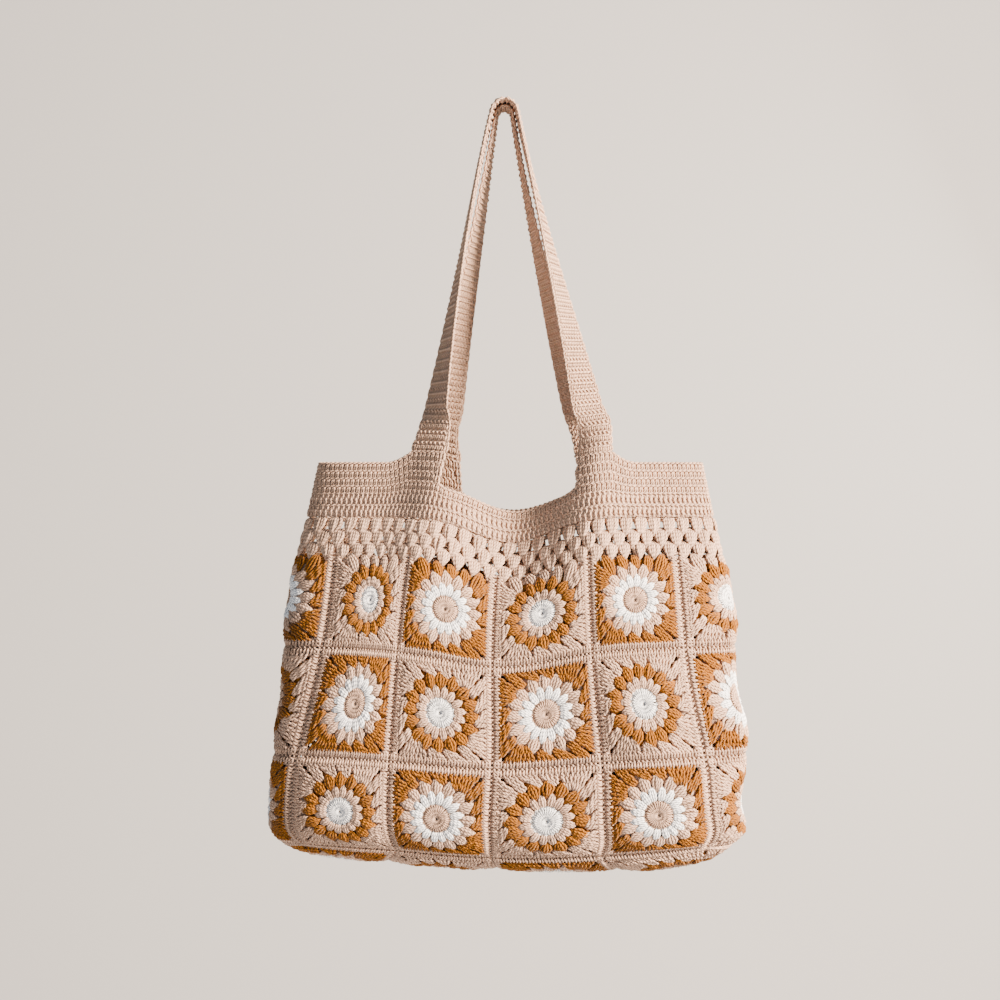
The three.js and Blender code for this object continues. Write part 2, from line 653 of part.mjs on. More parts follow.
// Squares with an ochre round next to the border alternate with squares whose last rounds are cream.
function squareColour(column, row) {
  return (((column + row) % 2) + 2) % 2 === 0 ? COLOURS.cream : COLOURS.ochre;
}

const FACES = [
  { name: "front", first: -HALF, count: FRONT_SQUARES },
  { name: "right", first: HALF, count: GUSSET_SQUARES },
  { name: "back", first: HALF + GUSSET_SQUARES, count: FRONT_SQUARES },
  { name: "left", first: -HALF - GUSSET_SQUARES, count: GUSSET_SQUARES },
];

function bag() {
  const group = new THREE.Group();
  group.name = "crochet_bag";
  for (const face of FACES) {
    for (let row = 0; row < ROWS; row += 1) {
      for (let k = 0; k < face.count; k += 1) {
        const column = face.first + k;
        const name = `${face.name}_square_${row + 1}_${k + 1}`;
        group.add(cloth(name, squareColour(column, row), wallSquare(column, row)));
      }
    }
  }
  for (let k = 0; k < FRONT_SQUARES; k += 1) {
    group.add(cloth(`base_square_${k + 1}`, squareColour(k - HALF, -1), baseSquare(k)));
  }
  group.add(cloth("yoke", COLOURS.cream, yokeGeometry()));
  group.add(cloth("mouth_band", COLOURS.cream, bandGeometry()));
  for (const strap of STRAPS) group.add(cloth(strap.name, COLOURS.cream, strapGeometry(strap)));
  return group;
}

export default bag();
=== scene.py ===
"""A crocheted tote bag of sunburst squares, hanging empty by its two straps.

The body is worked stitch by stitch: every strand of yarn is a tapered tube that follows the bag's cloth.
Sizes are in millimetres and turn to metres where a mesh is made. +Z is up and the front faces -Y.
"""

from __future__ import annotations

import logging
import math
import sys
from dataclasses import dataclass, field
from enum import Enum, IntEnum

import bpy
import numpy as np
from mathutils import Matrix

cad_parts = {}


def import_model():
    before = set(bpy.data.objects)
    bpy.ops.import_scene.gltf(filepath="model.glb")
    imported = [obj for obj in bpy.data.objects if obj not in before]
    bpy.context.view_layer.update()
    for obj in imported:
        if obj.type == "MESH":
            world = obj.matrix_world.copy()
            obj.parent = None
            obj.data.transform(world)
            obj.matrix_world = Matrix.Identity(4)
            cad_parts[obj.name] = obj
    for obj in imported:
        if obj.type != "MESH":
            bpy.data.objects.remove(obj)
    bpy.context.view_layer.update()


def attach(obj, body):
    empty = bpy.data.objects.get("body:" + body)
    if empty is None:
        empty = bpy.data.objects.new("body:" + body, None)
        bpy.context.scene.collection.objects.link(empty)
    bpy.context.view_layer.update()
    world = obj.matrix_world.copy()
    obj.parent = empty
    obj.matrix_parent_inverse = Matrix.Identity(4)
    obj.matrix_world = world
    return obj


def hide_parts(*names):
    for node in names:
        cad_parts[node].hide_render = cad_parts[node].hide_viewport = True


LOG = logging.getLogger("crochet_bag")

METRES = 0.001  # metres in a millimetre
TINY = 1e-9  # keeps a division from failing

# Sizes that the bag's solids have too
SQUARE = 90.0  # side of one square, from seam to seam
HALF_SQUARE = SQUARE / 2
FRONT_SQUARES = 4
GUSSET_SQUARES = 1
ROWS = 3
AROUND = 2 * (FRONT_SQUARES + GUSSET_SQUARES)  # squares round the bag
FRONT = FRONT_SQUARES * SQUARE
GUSSET = GUSSET_SQUARES * SQUARE
HALF = FRONT_SQUARES / 2  # squares from the middle seam to a corner seam
BODY_HEIGHT = ROWS * SQUARE
YOKE_HEIGHT = 32.0
YOKE_TOP = BODY_HEIGHT + YOKE_HEIGHT
BAND_LOW = 27.0  # height of the band at the middle of the front and of the back
BAND_HIGH = 46.0  # height of the band at the sides of the bag
SIDE_RIM = YOKE_TOP + BAND_HIGH
SHOULDER_RISE = 11.0  # how far the band climbs from the sides to the foot of a strap
SHOULDER_RUN = 24.0  # length of that climb along the rim
STRAP_DROP = 319.0  # from the straps' peak down to the rim at the sides
STRAP_WIDTH = 30.0
STRAP_WALL = 3.6
STRAP_LAYER_GAP = 0.5  # between the two straps where they lie on each other
STRAP_FOOT_BEND = 0.12  # how far up a leg its foot's direction reaches
STRAP_TOP_BEND = 0.3  # how far down a leg its direction at the peak reaches
HOOK_RADIUS = 5.5
BASE_SAG_LEFT = 15.0
BASE_SAG_RIGHT = 24.0
Z_RIM = -STRAP_DROP
Z_YOKE_TOP = Z_RIM - BAND_HIGH
Z_BODY_TOP = Z_YOKE_TOP - YOKE_HEIGHT
SQUARE_PUFF = 2.4  # how far a square's middle stands out from its seams

Array = np.ndarray


class Yarn(Enum):
    """The three colours of yarn: the name of the record's slot, and the sRGB colour."""

    BEIGE = ("beige_yarn", "#C7A388")
    OCHRE = ("ochre_yarn", "#8B5301")
    WHITE = ("white_yarn", "#FAF8F5")

    @property
    def slot(self) -> str:
        """The record's slot for this yarn."""
        return self.value[0]

    @property
    def dye(self) -> str:
        """The sRGB hex value of this yarn."""
        return self.value[1]


Finishes = dict[Yarn, list[bpy.types.Material]]


@dataclass(frozen=True)
class Section:
    """One level of the bag. Widths are shares of the front's width, depths shares of the gusset's."""

    level: float
    z: float
    half: float
    shift: float
    turn: float
    front: float
    back: float
    corner: float


@dataclass(frozen=True)
class Fold:
    """A soft bump over the cloth, placed and sized in squares."""

    u: float
    row: float
    wide: float
    tall: float
    out: float = 0.0
    lift: float = 0.0
    slide: float = 0.0


SECTIONS = (
    Section(0, Z_BODY_TOP - 2.82 * SQUARE, 0.556, 0.006, -0.008, -0.74, 0.12, 4.4),
    Section(0.25 * SQUARE, Z_BODY_TOP - 2.67 * SQUARE, 0.578, 0.01, -0.017, -0.82, 0.18, 4.2),
    Section(0.5 * SQUARE, Z_BODY_TOP - 2.46 * SQUARE, 0.582, 0.013, -0.027, -0.87, 0.19, 4),
    Section(SQUARE, Z_BODY_TOP - 1.96 * SQUARE, 0.579, 0.017, -0.037, -0.88, 0.2, 4.4),
    Section(2 * SQUARE, Z_BODY_TOP - 0.92 * SQUARE, 0.557, 0.015, -0.045, -0.8, 0.2, 4),
    Section(BODY_HEIGHT, Z_BODY_TOP, 0.521, 0.013, -0.034, -0.65, 0.19, 2.8),
    Section(YOKE_TOP, Z_YOKE_TOP, 0.503, 0.014, -0.018, -0.55, 0.17, 2.5),
    Section(SIDE_RIM, Z_RIM, 0.477, 0.015, 0, -0.44, 0.15, 2.4),
)

FOLDS = (
    Fold(0.1, 3.8, 0.6, 1.9, lift=-0.26),
    Fold(0, 1.6, 1.2, 1, lift=-0.1),
    Fold(5, 3.6, 0.7, 2.1, lift=-0.25),
    Fold(0.16, 3.9, 0.5, 1, out=-0.21),
    Fold(-0.78, 3.8, 0.42, 1.1, out=0.14),
    Fold(1.05, 3.8, 0.42, 1.1, out=0.15),
    Fold(0.4, 0, 1.6, 0.8, lift=-0.13),
    Fold(-0.1, 0, 1, 1, slide=-0.12),
    Fold(-1.9, 2.1, 0.75, 1.3, slide=0.36),
    Fold(1.9, 1.7, 0.8, 1.1, slide=-0.15),
    Fold(-2.5, 1.6, 0.45, 0.4, out=-0.05),
    Fold(2.55, 0.62, 0.45, 0.34, out=-0.1),
    Fold(2.5, 1.65, 0.45, 0.35, out=-0.1),
    Fold(0.55, 1.5, 0.35, 0.5, out=-0.04),
    Fold(1.5, 1.1, 0.4, 0.5, out=0.04),
)


def unit(vectors: Array) -> Array:
    """Scale vectors to length one.

    Args:
        vectors: Vectors along the last axis.

    Returns:
        The same directions with length one.
    """
    length = np.linalg.norm(vectors, axis=-1, keepdims=True)
    return vectors / np.maximum(length, TINY)


def pairs(x: Array, y: Array | float) -> Array:
    """Places from their x and y, either of which may be one number for all."""
    return np.stack(np.broadcast_arrays(x, y), -1)


def read_table(table: Array, row: Array, column: Array) -> Array:
    """Read a table between its entries, going on from the last column to the first.

    Args:
        table: Points by row and column.
        row: Rows to read at, with fractions.
        column: Columns to read at, with fractions.

    Returns:
        One point for each row and column.
    """
    r0, c0 = np.floor(row).astype(int), np.floor(column).astype(int)
    fr, fc = (row - r0)[..., None], (column - c0)[..., None]
    c0, c1 = c0 % table.shape[1], (c0 + 1) % table.shape[1]
    low = table[r0, c0] * (1 - fc) + table[r0, c1] * fc
    high = table[r0 + 1, c0] * (1 - fc) + table[r0 + 1, c1] * fc
    return low * (1 - fr) + high * fr


def turn_between(start: Array, end: Array) -> Array:
    """Signed distance round the bag, in squares.

    Args:
        start: Places to measure from.
        end: Places to measure to.

    Returns:
        Distances from minus to plus half the way round.
    """
    return (end - start + AROUND / 2) % AROUND - AROUND / 2


class BagShape:
    """The outside of the hanging cloth, tabulated once and then looked up."""

    LEVEL_STEP = 2.0
    TOP_LEVEL = 440.0
    U_STEPS = 640
    LOOP_POINTS = 960
    BASE_STEPS = 120
    BASE_DEEP_STEPS = 32
    SAG_POWER = 6  # how evenly the base sags along its length
    LAST_ROW = 1.001  # keeps a height inside the table's last step, counted from its end
    BASE_END = 0.9999  # keeps a place inside the base's last cell, as a share

    def __init__(self) -> None:
        """Tabulate the walls and the base."""
        self.levels = np.arange(0, self.TOP_LEVEL + self.LEVEL_STEP, self.LEVEL_STEP)
        self.places = np.arange(self.U_STEPS) / self.U_STEPS * AROUND
        self.totals = np.zeros(len(self.levels))
        self.wall = np.stack([self._loop(k) for k in range(len(self.levels))])
        along = np.roll(self.wall, -1, axis=1) - np.roll(self.wall, 1, axis=1)
        up = np.gradient(self.wall, axis=0)
        self.wall_normals = unit(np.cross(along, up))
        self.base = self._base_table()
        across = np.gradient(self.base, axis=1)
        deep = np.gradient(self.base, axis=0)
        self.base_normals = unit(np.cross(deep, across))

    @staticmethod
    def between(level: float, column: str) -> float:
        """A value between rows of the section table, on a smooth curve through them.

        Args:
            level: Height along the cloth.
            column: Name of the section's field.

        Returns:
            The value at that level.
        """
        last = len(SECTIONS) - 1
        k = 0
        while k < last - 1 and level > SECTIONS[k + 1].level:
            k += 1
        a, b = SECTIONS[k], SECTIONS[k + 1]
        before, after = SECTIONS[max(k - 1, 0)], SECTIONS[min(k + 2, last)]
        span = b.level - a.level
        t = (level - a.level) / span
        va, vb = getattr(a, column), getattr(b, column)
        m0 = (vb - getattr(before, column)) / (b.level - before.level) * span
        m1 = (getattr(after, column) - va) / (after.level - a.level) * span
        if t > 1:
            return vb + m1 * (t - 1)
        return (
            (2 * t**3 - 3 * t**2 + 1) * va
            + (t**3 - 2 * t**2 + t) * m0
            + (3 * t**2 - 2 * t**3) * vb
            + (t**3 - t**2) * m1
        )

    def _loop(self, index: int) -> Array:
        """Place the cloth all the way round at one level.

        Args:
            index: Row of the table.

        Returns:
            Points, one for each place round the bag.
        """
        level = self.levels[index]
        value = {name: self.between(level, name) for name in Section.__annotations__ if name != "level"}
        front, back = value["front"] * GUSSET, value["back"] * GUSSET
        power = 2 / value["corner"]
        angle = np.linspace(-math.pi / 2, 1.5 * math.pi, self.LOOP_POINTS + 1)
        cosine, sine = np.cos(angle), np.sin(angle)
        x = value["shift"] * FRONT + value["half"] * FRONT * np.sign(cosine) * np.abs(cosine) ** power
        y = (front + back) / 2 + (back - front) / 2 * np.sign(sine) * np.abs(sine) ** power
        length = np.concatenate([[0], np.cumsum(np.hypot(np.diff(x), np.diff(y)))])
        self.totals[index] = length[-1]
        out, lift, slide = (np.zeros(self.U_STEPS) for _ in range(3))
        for fold in FOLDS:
            across = turn_between(fold.u, self.places) / fold.wide
            bump = np.exp(-(across**2) - ((level / SQUARE - fold.row) / fold.tall) ** 2)
            out += fold.out * GUSSET * bump
            lift += fold.lift * SQUARE * bump
            slide += fold.slide * SQUARE * bump
        along = (self.places / AROUND * length[-1] + value["turn"] * FRONT + slide) % length[-1]
        dx = np.interp(along, length, np.gradient(x, length))
        dy = np.interp(along, length, np.gradient(y, length))
        return np.stack(
            [
                np.interp(along, length, x) + out * dy,
                np.interp(along, length, y) - out * dx,
                value["z"] + lift,
            ],
            axis=1,
        )

    def _base_table(self) -> Array:
        """Fill in the base between the four stretches of the bottom seam.

        Returns:
            Points by depth and width.
        """
        s = np.linspace(0, FRONT_SQUARES, self.BASE_STEPS + 1)
        t = np.linspace(0, GUSSET_SQUARES, self.BASE_DEEP_STEPS + 1)
        s, t = np.meshgrid(s, t)
        p, q = s / FRONT_SQUARES, t / GUSSET_SQUARES

        def seam(u: Array) -> Array:
            """The bottom seam at places round the bag."""
            return self.look_up(self.wall, u, np.zeros_like(u))

        weights = (
            (seam(s - HALF), 1 - q),
            (seam(AROUND - HALF - GUSSET_SQUARES - s), q),
            (seam(-HALF - t), 1 - p),
            (seam(HALF + t), p),
            (seam(np.full_like(s, -HALF)), -(1 - p) * (1 - q)),
            (seam(np.full_like(s, HALF)), -p * (1 - q)),
            (seam(np.full_like(s, AROUND - HALF - GUSSET_SQUARES)), -(1 - p) * q),
            (seam(np.full_like(s, HALF + GUSSET_SQUARES)), -p * q),
        )
        points = sum(values * share[..., None] for values, share in weights)
        sag = BASE_SAG_LEFT + (BASE_SAG_RIGHT - BASE_SAG_LEFT) * p * p
        points[..., 2] -= sag * 4 * q * (1 - q) * (1 - (2 * p - 1) ** self.SAG_POWER)
        return points

    def look_up(self, table: Array, u: Array, level: Array) -> Array:
        """Read a wall table between its entries.

        Args:
            table: Values by level and place.
            u: Places round the bag in squares.
            level: Heights along the cloth.

        Returns:
            One value for each pair.
        """
        column = (np.asarray(u) % AROUND) / AROUND * self.U_STEPS
        row = np.clip(np.asarray(level) / self.LEVEL_STEP, 0, len(self.levels) - self.LAST_ROW)
        return read_table(table, row, column)

    def on_wall(self, u: Array, level: Array, out: Array) -> tuple[Array, Array]:
        """Points at a distance out from the wall.

        Args:
            u: Places round the bag in squares.
            level: Heights along the cloth.
            out: Distances outwards.

        Returns:
            Points and the directions that the cloth faces there.
        """
        normals = unit(self.look_up(self.wall_normals, u, level))
        return self.look_up(self.wall, u, level) + normals * np.asarray(out)[..., None], normals

    def on_base(self, s: Array, t: Array, out: Array) -> tuple[Array, Array]:
        """Points at a distance out from the base.

        Args:
            s: Places from left to right in squares.
            t: Places from front to back in squares.
            out: Distances outwards, which is down.

        Returns:
            Points and the directions that the cloth faces there.
        """
        column = np.clip(s / FRONT_SQUARES, 0, self.BASE_END) * self.BASE_STEPS
        row = np.clip(t / GUSSET_SQUARES, 0, self.BASE_END) * self.BASE_DEEP_STEPS
        normals = unit(read_table(self.base_normals, row, column))
        return read_table(self.base, row, column) + normals * np.asarray(out)[..., None], normals

    def rim_span(self, length: float) -> float:
        """Squares round the bag that a length along the rim covers.

        Args:
            length: Length along the rim.

        Returns:
            The same stretch in squares.
        """
        return length / float(np.interp(SIDE_RIM, self.levels, self.totals)) * AROUND


class Patch:
    """A piece of cloth with flat coordinates of its own: x across, y up and h out from it."""

    def place(self, x: Array, y: Array, h: Array) -> tuple[Array, Array]:
        """Move flat coordinates to where the cloth hangs.

        Args:
            x: Distances across.
            y: Distances up.
            h: Distances out from the cloth.

        Returns:
            Points and the directions that the cloth faces there.
        """
        raise NotImplementedError


@dataclass
class SquarePatch(Patch):
    """The cloth of one square, with its middle at 0,0 and its seams at plus and minus half a square."""

    shape: BagShape
    column: float
    row: int
    in_base: bool = False

    def place(self, x: Array, y: Array, h: Array) -> tuple[Array, Array]:
        """Move flat coordinates to the wall or the base.

        Args:
            x: Distances across from the square's middle.
            y: Distances up from the square's middle.
            h: Distances out from the puffed cloth.

        Returns:
            Points and the directions that the cloth faces there.
        """
        a = np.clip(0.5 + x / SQUARE, 0, 1)
        b = np.clip(0.5 + y / SQUARE, 0, 1)
        puffed = h + SQUARE_PUFF * np.sqrt(np.sin(np.pi * a) * np.sin(np.pi * b))
        if self.in_base:
            return self.shape.on_base(self.column + 0.5 + x / SQUARE, 0.5 - y / SQUARE, puffed)
        level = (self.row + 0.5) * SQUARE + y
        return self.shape.on_wall(self.column + 0.5 + x / SQUARE, level, puffed)


@dataclass
class Piece:
    """Strands and sheets of one yarn, gathered for one mesh."""

    name: str
    yarn: Yarn
    nodes: list[str]
    vertices: list[Array] = field(default_factory=list)
    faces: list[Array] = field(default_factory=list)
    uvs: list[Array] = field(default_factory=list)
    tones: list[Array] = field(default_factory=list)
    sheet: list[Array] = field(default_factory=list)
    count: int = 0

    def add(self, points: Array, faces: Array, uvs: Array, tones: Array, is_sheet: bool) -> None:
        """Keep some geometry for the mesh.

        Args:
            points: Points in millimetres.
            faces: Corner numbers of faces with the same number of corners, counted from these points.
            uvs: Texture places, one for each corner.
            tones: Shade of the dye, one for each point.
            is_sheet: True where the faces are flat cloth and not strands.
        """
        self.vertices.append(points.reshape(-1, 3))
        self.faces.append(faces + self.count)
        self.uvs.append(uvs.reshape(-1, 2))
        self.tones.append(tones.ravel())
        self.sheet.append(np.full(len(faces), int(is_sheet)))
        self.count += len(self.vertices[-1])

    def strands(
        self, patch: Patch, x: Array, y: Array, h: Array, radius: Array, tone: Array, corners: int
    ) -> None:
        """Add tubes of yarn that follow rows of points.

        Args:
            patch: The cloth that the flat coordinates belong to.
            x: Distances across, by strand and point.
            y: Distances up, by strand and point.
            h: Distances out, by strand and point.
            radius: Radius of the yarn, by strand and point.
            tone: Shade of the dye, by strand.
            corners: Corners of the tube's cross-section.
        """
        grids = np.broadcast_arrays(x, y, h, radius)
        x, y, h, radius = (np.array(values, dtype=float) for values in grids)
        count, steps = x.shape
        points, normals = patch.place(x, y, h)
        ways = unit(np.gradient(points, axis=1))
        sides = unit(np.cross(ways, normals))
        ups = np.cross(sides, ways)
        angle = (np.arange(corners) / corners + 0.25) * 2 * math.pi
        ring = (
            np.cos(angle)[:, None] * sides[:, :, None, :] + np.sin(angle)[:, None] * ups[:, :, None, :]
        ) * radius[:, :, None, None]
        rings = points[:, :, None, :] + ring
        index = np.arange(count * steps * corners).reshape(count, steps, corners)
        near, far = index[:, :-1], index[:, 1:]
        quads = np.stack(
            [near, far, np.roll(far, -1, axis=2), np.roll(near, -1, axis=2)], axis=-1
        ).reshape(-1, 4)
        run = np.linalg.norm(np.diff(points, axis=1), axis=-1)
        length = np.concatenate([np.zeros((count, 1)), np.cumsum(run, axis=1)], axis=1)
        round_share = np.arange(corners) / corners
        u0 = np.broadcast_to(round_share, (count, steps - 1, corners))
        u1 = u0 + 1 / corners
        v0 = np.broadcast_to(length[:, :-1, None], u0.shape)
        v1 = np.broadcast_to(length[:, 1:, None], u0.shape)
        places = ((u0, v0), (u0, v1), (u1, v1), (u1, v0))
        uvs = np.stack([np.stack(place, -1) for place in places], axis=-2)
        shade = np.asarray(tone, dtype=float).reshape(-1, 1, 1)
        tones = np.broadcast_to(shade, (count, steps, corners))
        start = self.count
        self.add(rings, quads, uvs, tones, False)
        for ends, step in ((index[:, 0], 0), (index[:, -1, ::-1], steps - 1)):
            self.faces.append(ends + start)
            cap = np.broadcast_to(length[:, step, None], (count, corners))
            self.uvs.append(np.stack([np.broadcast_to(round_share, cap.shape), cap], -1).reshape(-1, 2))
            self.sheet.append(np.zeros(count, dtype=int))

    def sheet_between(self, outer: Array, inner: Array, keep: Array, wraps: bool, uvs: Array) -> None:
        """Add a thin closed sheet from two grids of points.

        Args:
            outer: Points of the outside, by row and column.
            inner: Points of the inside, by row and column.
            keep: True for each cell of the grid that has cloth.
            wraps: True where the last column meets the first.
            uvs: Texture places, by row and column, with one more column than the points where they wrap.
        """
        rows, columns = outer.shape[:2]
        index = np.arange(rows * columns).reshape(rows, columns)
        r, c = np.nonzero(keep)
        c1 = (c + 1) % columns if wraps else c + 1
        half = rows * columns
        corners = [index[r, c], index[r, c1], index[r + 1, c1], index[r + 1, c]]
        front = np.stack(corners, -1)
        back = np.stack([k + half for k in reversed(corners)], -1)
        places = [uvs[r, c], uvs[r, c + 1], uvs[r + 1, c + 1], uvs[r + 1, c]]
        faces, corner_uvs = [front, back], [np.stack(places, 1), np.stack(places[::-1], 1)]
        cells = {(1, 0): (3, 2), (-1, 0): (1, 0), (0, 1): (2, 1), (0, -1): (0, 3)}
        for (dr, dc), (a, b) in cells.items():
            near_r, near_c = r + dr, c + dc
            if wraps:
                near_c = near_c % keep.shape[1]
            inside = (near_r >= 0) & (near_r < keep.shape[0]) & (near_c >= 0) & (near_c < keep.shape[1])
            kept = np.zeros(len(r), dtype=bool)
            kept[inside] = keep[near_r[inside], near_c[inside]]
            edge = ~kept
            one, two = corners[a][edge], corners[b][edge]
            faces.append(np.stack([one, two, two + half, one + half], -1))
            corner_uvs.append(
                np.stack([places[a][edge], places[b][edge], places[b][edge], places[a][edge]], 1)
            )
        points = np.concatenate([outer.reshape(-1, 3), inner.reshape(-1, 3)])
        faces = np.concatenate(faces)
        used = np.unique(faces)
        renumber = np.zeros(len(points), dtype=int)
        renumber[used] = np.arange(len(used))
        self.add(points[used], renumber[faces], np.concatenate(corner_uvs), np.zeros(len(used)), True)

    def build(self, materials: list[bpy.types.Material]) -> bpy.types.Object:
        """Make the mesh and its object.

        Args:
            materials: The strand finish and the sheet finish.

        Returns:
            The new object, riding on the bag and standing for its solids.
        """
        mesh = bpy.data.meshes.new(self.name)
        points = np.concatenate(self.vertices) * METRES
        sizes = np.concatenate([np.full(len(faces), faces.shape[1]) for faces in self.faces])
        corners = np.concatenate([faces.ravel() for faces in self.faces])
        uvs = np.concatenate(self.uvs)
        mesh.vertices.add(len(points))
        mesh.vertices.foreach_set("co", points.ravel())
        mesh.loops.add(len(corners))
        mesh.loops.foreach_set("vertex_index", corners)
        mesh.polygons.add(len(sizes))
        mesh.polygons.foreach_set("loop_start", np.concatenate([[0], np.cumsum(sizes)[:-1]]))
        mesh.polygons.foreach_set("use_smooth", np.ones(len(sizes), dtype=bool))
        mesh.polygons.foreach_set("material_index", np.concatenate(self.sheet))
        layer = mesh.uv_layers.new(name="yarn")
        layer.data.foreach_set("uv", uvs.ravel())
        tone = mesh.attributes.new("tone", "FLOAT", "POINT")
        tone.data.foreach_set("value", np.concatenate(self.tones))
        mesh.update(calc_edges=True)
        for material in materials:
            mesh.materials.append(material)
        piece = bpy.data.objects.new(self.name, mesh)
        bpy.context.scene.collection.objects.link(piece)
        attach(piece, "root")
        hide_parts(*self.nodes)
        LOG.info("%s: %d faces", self.name, len(sizes))
        return piece


@dataclass(frozen=True)
class Face:
    """One face of a cloth while it is worked.

    side is 1 for the right side and -1 for the wrong side. depth says how far below the patch's surface the
    middle of the cloth lies, and the wrong side is the right side mirrored about it.
    """

    piece: Piece
    patch: Patch
    rng: np.random.Generator
    side: float = 1.0
    depth: float = 0.0

    def lay(
        self,
        start: Array,
        end: Array,
        t: Array,
        off: Array,
        h: Array,
        radius: Array,
        tone: Array,
        corners: int,
        x_scale: float = 1.0,
    ) -> None:
        """Lay strands from each start to each end.

        Args:
            start: Feet of the stitches, x and y.
            end: Heads of the stitches, x and y.
            t: Places from foot to head, as shares of the way.
            off: Distances sideways, by stitch, strand and place.
            h: Distances out on the right side, by stitch, strand and place.
            radius: Radius of the yarn, by stitch, strand and place.
            tone: Shade of the dye, by strand.
            corners: Corners of the tubes' cross-section.
            x_scale: Units of x in one millimetre.
        """
        units = np.array([x_scale, 1.0])
        way = end - start
        flat = way / units
        side = unit(np.stack([flat[:, 1], -flat[:, 0]], -1)) * units
        x, y = (
            start[:, None, k, None] + way[:, None, k, None] * t + side[:, None, k, None] * off
            for k in (0, 1)
        )
        faced = self.side * (h + self.depth) - self.depth
        tubes = (values.reshape(-1, len(t)) for values in (x, y, faced, radius))
        self.piece.strands(self.patch, *tubes, tone, corners)


@dataclass(frozen=True)
class Cluster:
    """Loops of yarn drawn up together: a puff, a cluster, a chain loop or one leg of a short stitch.

    Places run from 0 at its foot to 1 at its head. Widths, heights and radii belong to the places. crown
    says how far the outer strands lie below the middle one, twist how far it bows sideways, and jitter how
    much one strand differs from the next.
    """

    strands: int
    places: tuple[float, ...]
    widths: tuple[float, ...]
    heights: tuple[float, ...]
    radii: tuple[float, ...]
    crown: float = 0.0
    twist: float = 0.0
    jitter: float = 0.12
    corners: int = 4

    BOW = 0.1  # bow of a cluster with a twist of one, as a share of its length
    YARN_FOLLOWS = 0.3  # share of a cluster's own scale that its yarn's radius takes up
    CROWN_ENDS = (0.1, 0.9)  # places past which the crown stays as it is

    def work(self, face: Face, start: Array, end: Array, scale: Array | float = 1.0) -> None:
        """Work one cluster from each start to each end.

        Args:
            face: The face of the cloth that it is worked on.
            start: Feet of the clusters, x and y.
            end: Heads of the clusters, x and y.
            scale: Share of the width for each cluster.
        """
        count = len(start)
        t = np.array(self.places)
        swell = np.sin(np.pi * t)
        across = np.linspace(-1, 1, self.strands)[None, :, None]
        length = np.linalg.norm(end - start, axis=1)[:, None, None]
        size = np.broadcast_to(np.asarray(scale, dtype=float), (count,))[:, None, None]
        off = across * np.array(self.widths) * size + self.twist * swell * length * self.BOW
        off = off + face.rng.normal(0, self.jitter, (count, self.strands, 1)) * swell
        domed = self.crown * across**2 * np.sin(np.pi * np.clip(t, *self.CROWN_ENDS))
        stray = face.rng.normal(0, self.jitter, (count, self.strands, 1)) * swell
        h = np.array(self.heights) - domed + stray
        thickness = 1 - self.YARN_FOLLOWS + self.YARN_FOLLOWS * size
        radius = np.broadcast_to(np.array(self.radii) * thickness, h.shape)
        tone = face.rng.normal(0, 1, count * self.strands)
        face.lay(start, end, t, off, h, radius, tone, self.corners)


def loop(heights: tuple[float, ...], radii: tuple[float, ...], jitter: float) -> Cluster:
    """A single strand pulled over the cloth, with its heights and radii at its foot, middle and head."""
    return Cluster(1, (0, 0.5, 1), (0, 0, 0), heights, radii, jitter=jitter)


@dataclass(frozen=True)
class Posts:
    """Tall stitches, each two strands of yarn wound round one another like rope.

    spread is half the distance between the two strands, and turns how often they wind. height is that of
    the post's ends, arch how far its middle rises over them and foot_lift how far its foot does. taper is
    the share of its size that it has at its ends.
    """

    radius: float = 1.2
    spread: float = 0.95
    turns: float = 1.3
    steps: int = 6
    height: float = -1.0
    arch: float = 0.5
    taper: float = 0.9
    foot_lift: float = 0.0
    corners: int = 4

    UNEVEN = 0.3  # largest difference in where a post's winding starts, in radians
    FLATNESS = 0.95  # depth of the winding as a share of its width

    def work(self, face: Face, start: Array, end: Array, x_scale: float = 1.0) -> None:
        """Work one post from each start to each end.

        Args:
            face: The face of the cloth that it is worked on.
            start: Feet of the posts, x and y.
            end: Heads of the posts, x and y.
            x_scale: Units of x in one millimetre.
        """
        count = len(start)
        t = np.linspace(0, 1, self.steps)
        phase = face.rng.uniform(-self.UNEVEN, self.UNEVEN, count)[:, None, None]
        angle = 2 * math.pi * self.turns * t + (phase + np.array([0, math.pi])[None, :, None])
        size = self.taper + (1 - self.taper) * np.sin(math.pi * t)
        off = self.spread * np.cos(angle) * size
        middle = self.height + self.arch * np.sin(math.pi * t) + self.foot_lift * (1 - t) ** 2
        h = middle + self.FLATNESS * self.spread * np.sin(angle)
        radius = np.broadcast_to(self.radius * size, h.shape)
        tone = np.repeat(face.rng.normal(0, 1, count), 2)
        face.lay(start, end, t, off, h, radius, tone, self.corners, x_scale)


def polar(radius: Array | float, degrees: Array) -> Array:
    """Points round a square's middle.

    Args:
        radius: Distances from the middle, in half squares.
        degrees: Angles from +x.

    Returns:
        x and y in millimetres.
    """
    angle = np.radians(degrees)
    return np.stack([radius * np.cos(angle), radius * np.sin(angle)], -1) * HALF_SQUARE


@dataclass(frozen=True)
class SquareColours:
    """The yarn of each round of a sunburst square, from the middle out."""

    disc: Yarn
    puffs: Yarn
    clusters: Yarn
    fans: Yarn


CREAM_EDGED = SquareColours(Yarn.WHITE, Yarn.BEIGE, Yarn.OCHRE, Yarn.BEIGE)
OCHRE_EDGED = SquareColours(Yarn.BEIGE, Yarn.WHITE, Yarn.BEIGE, Yarn.OCHRE)


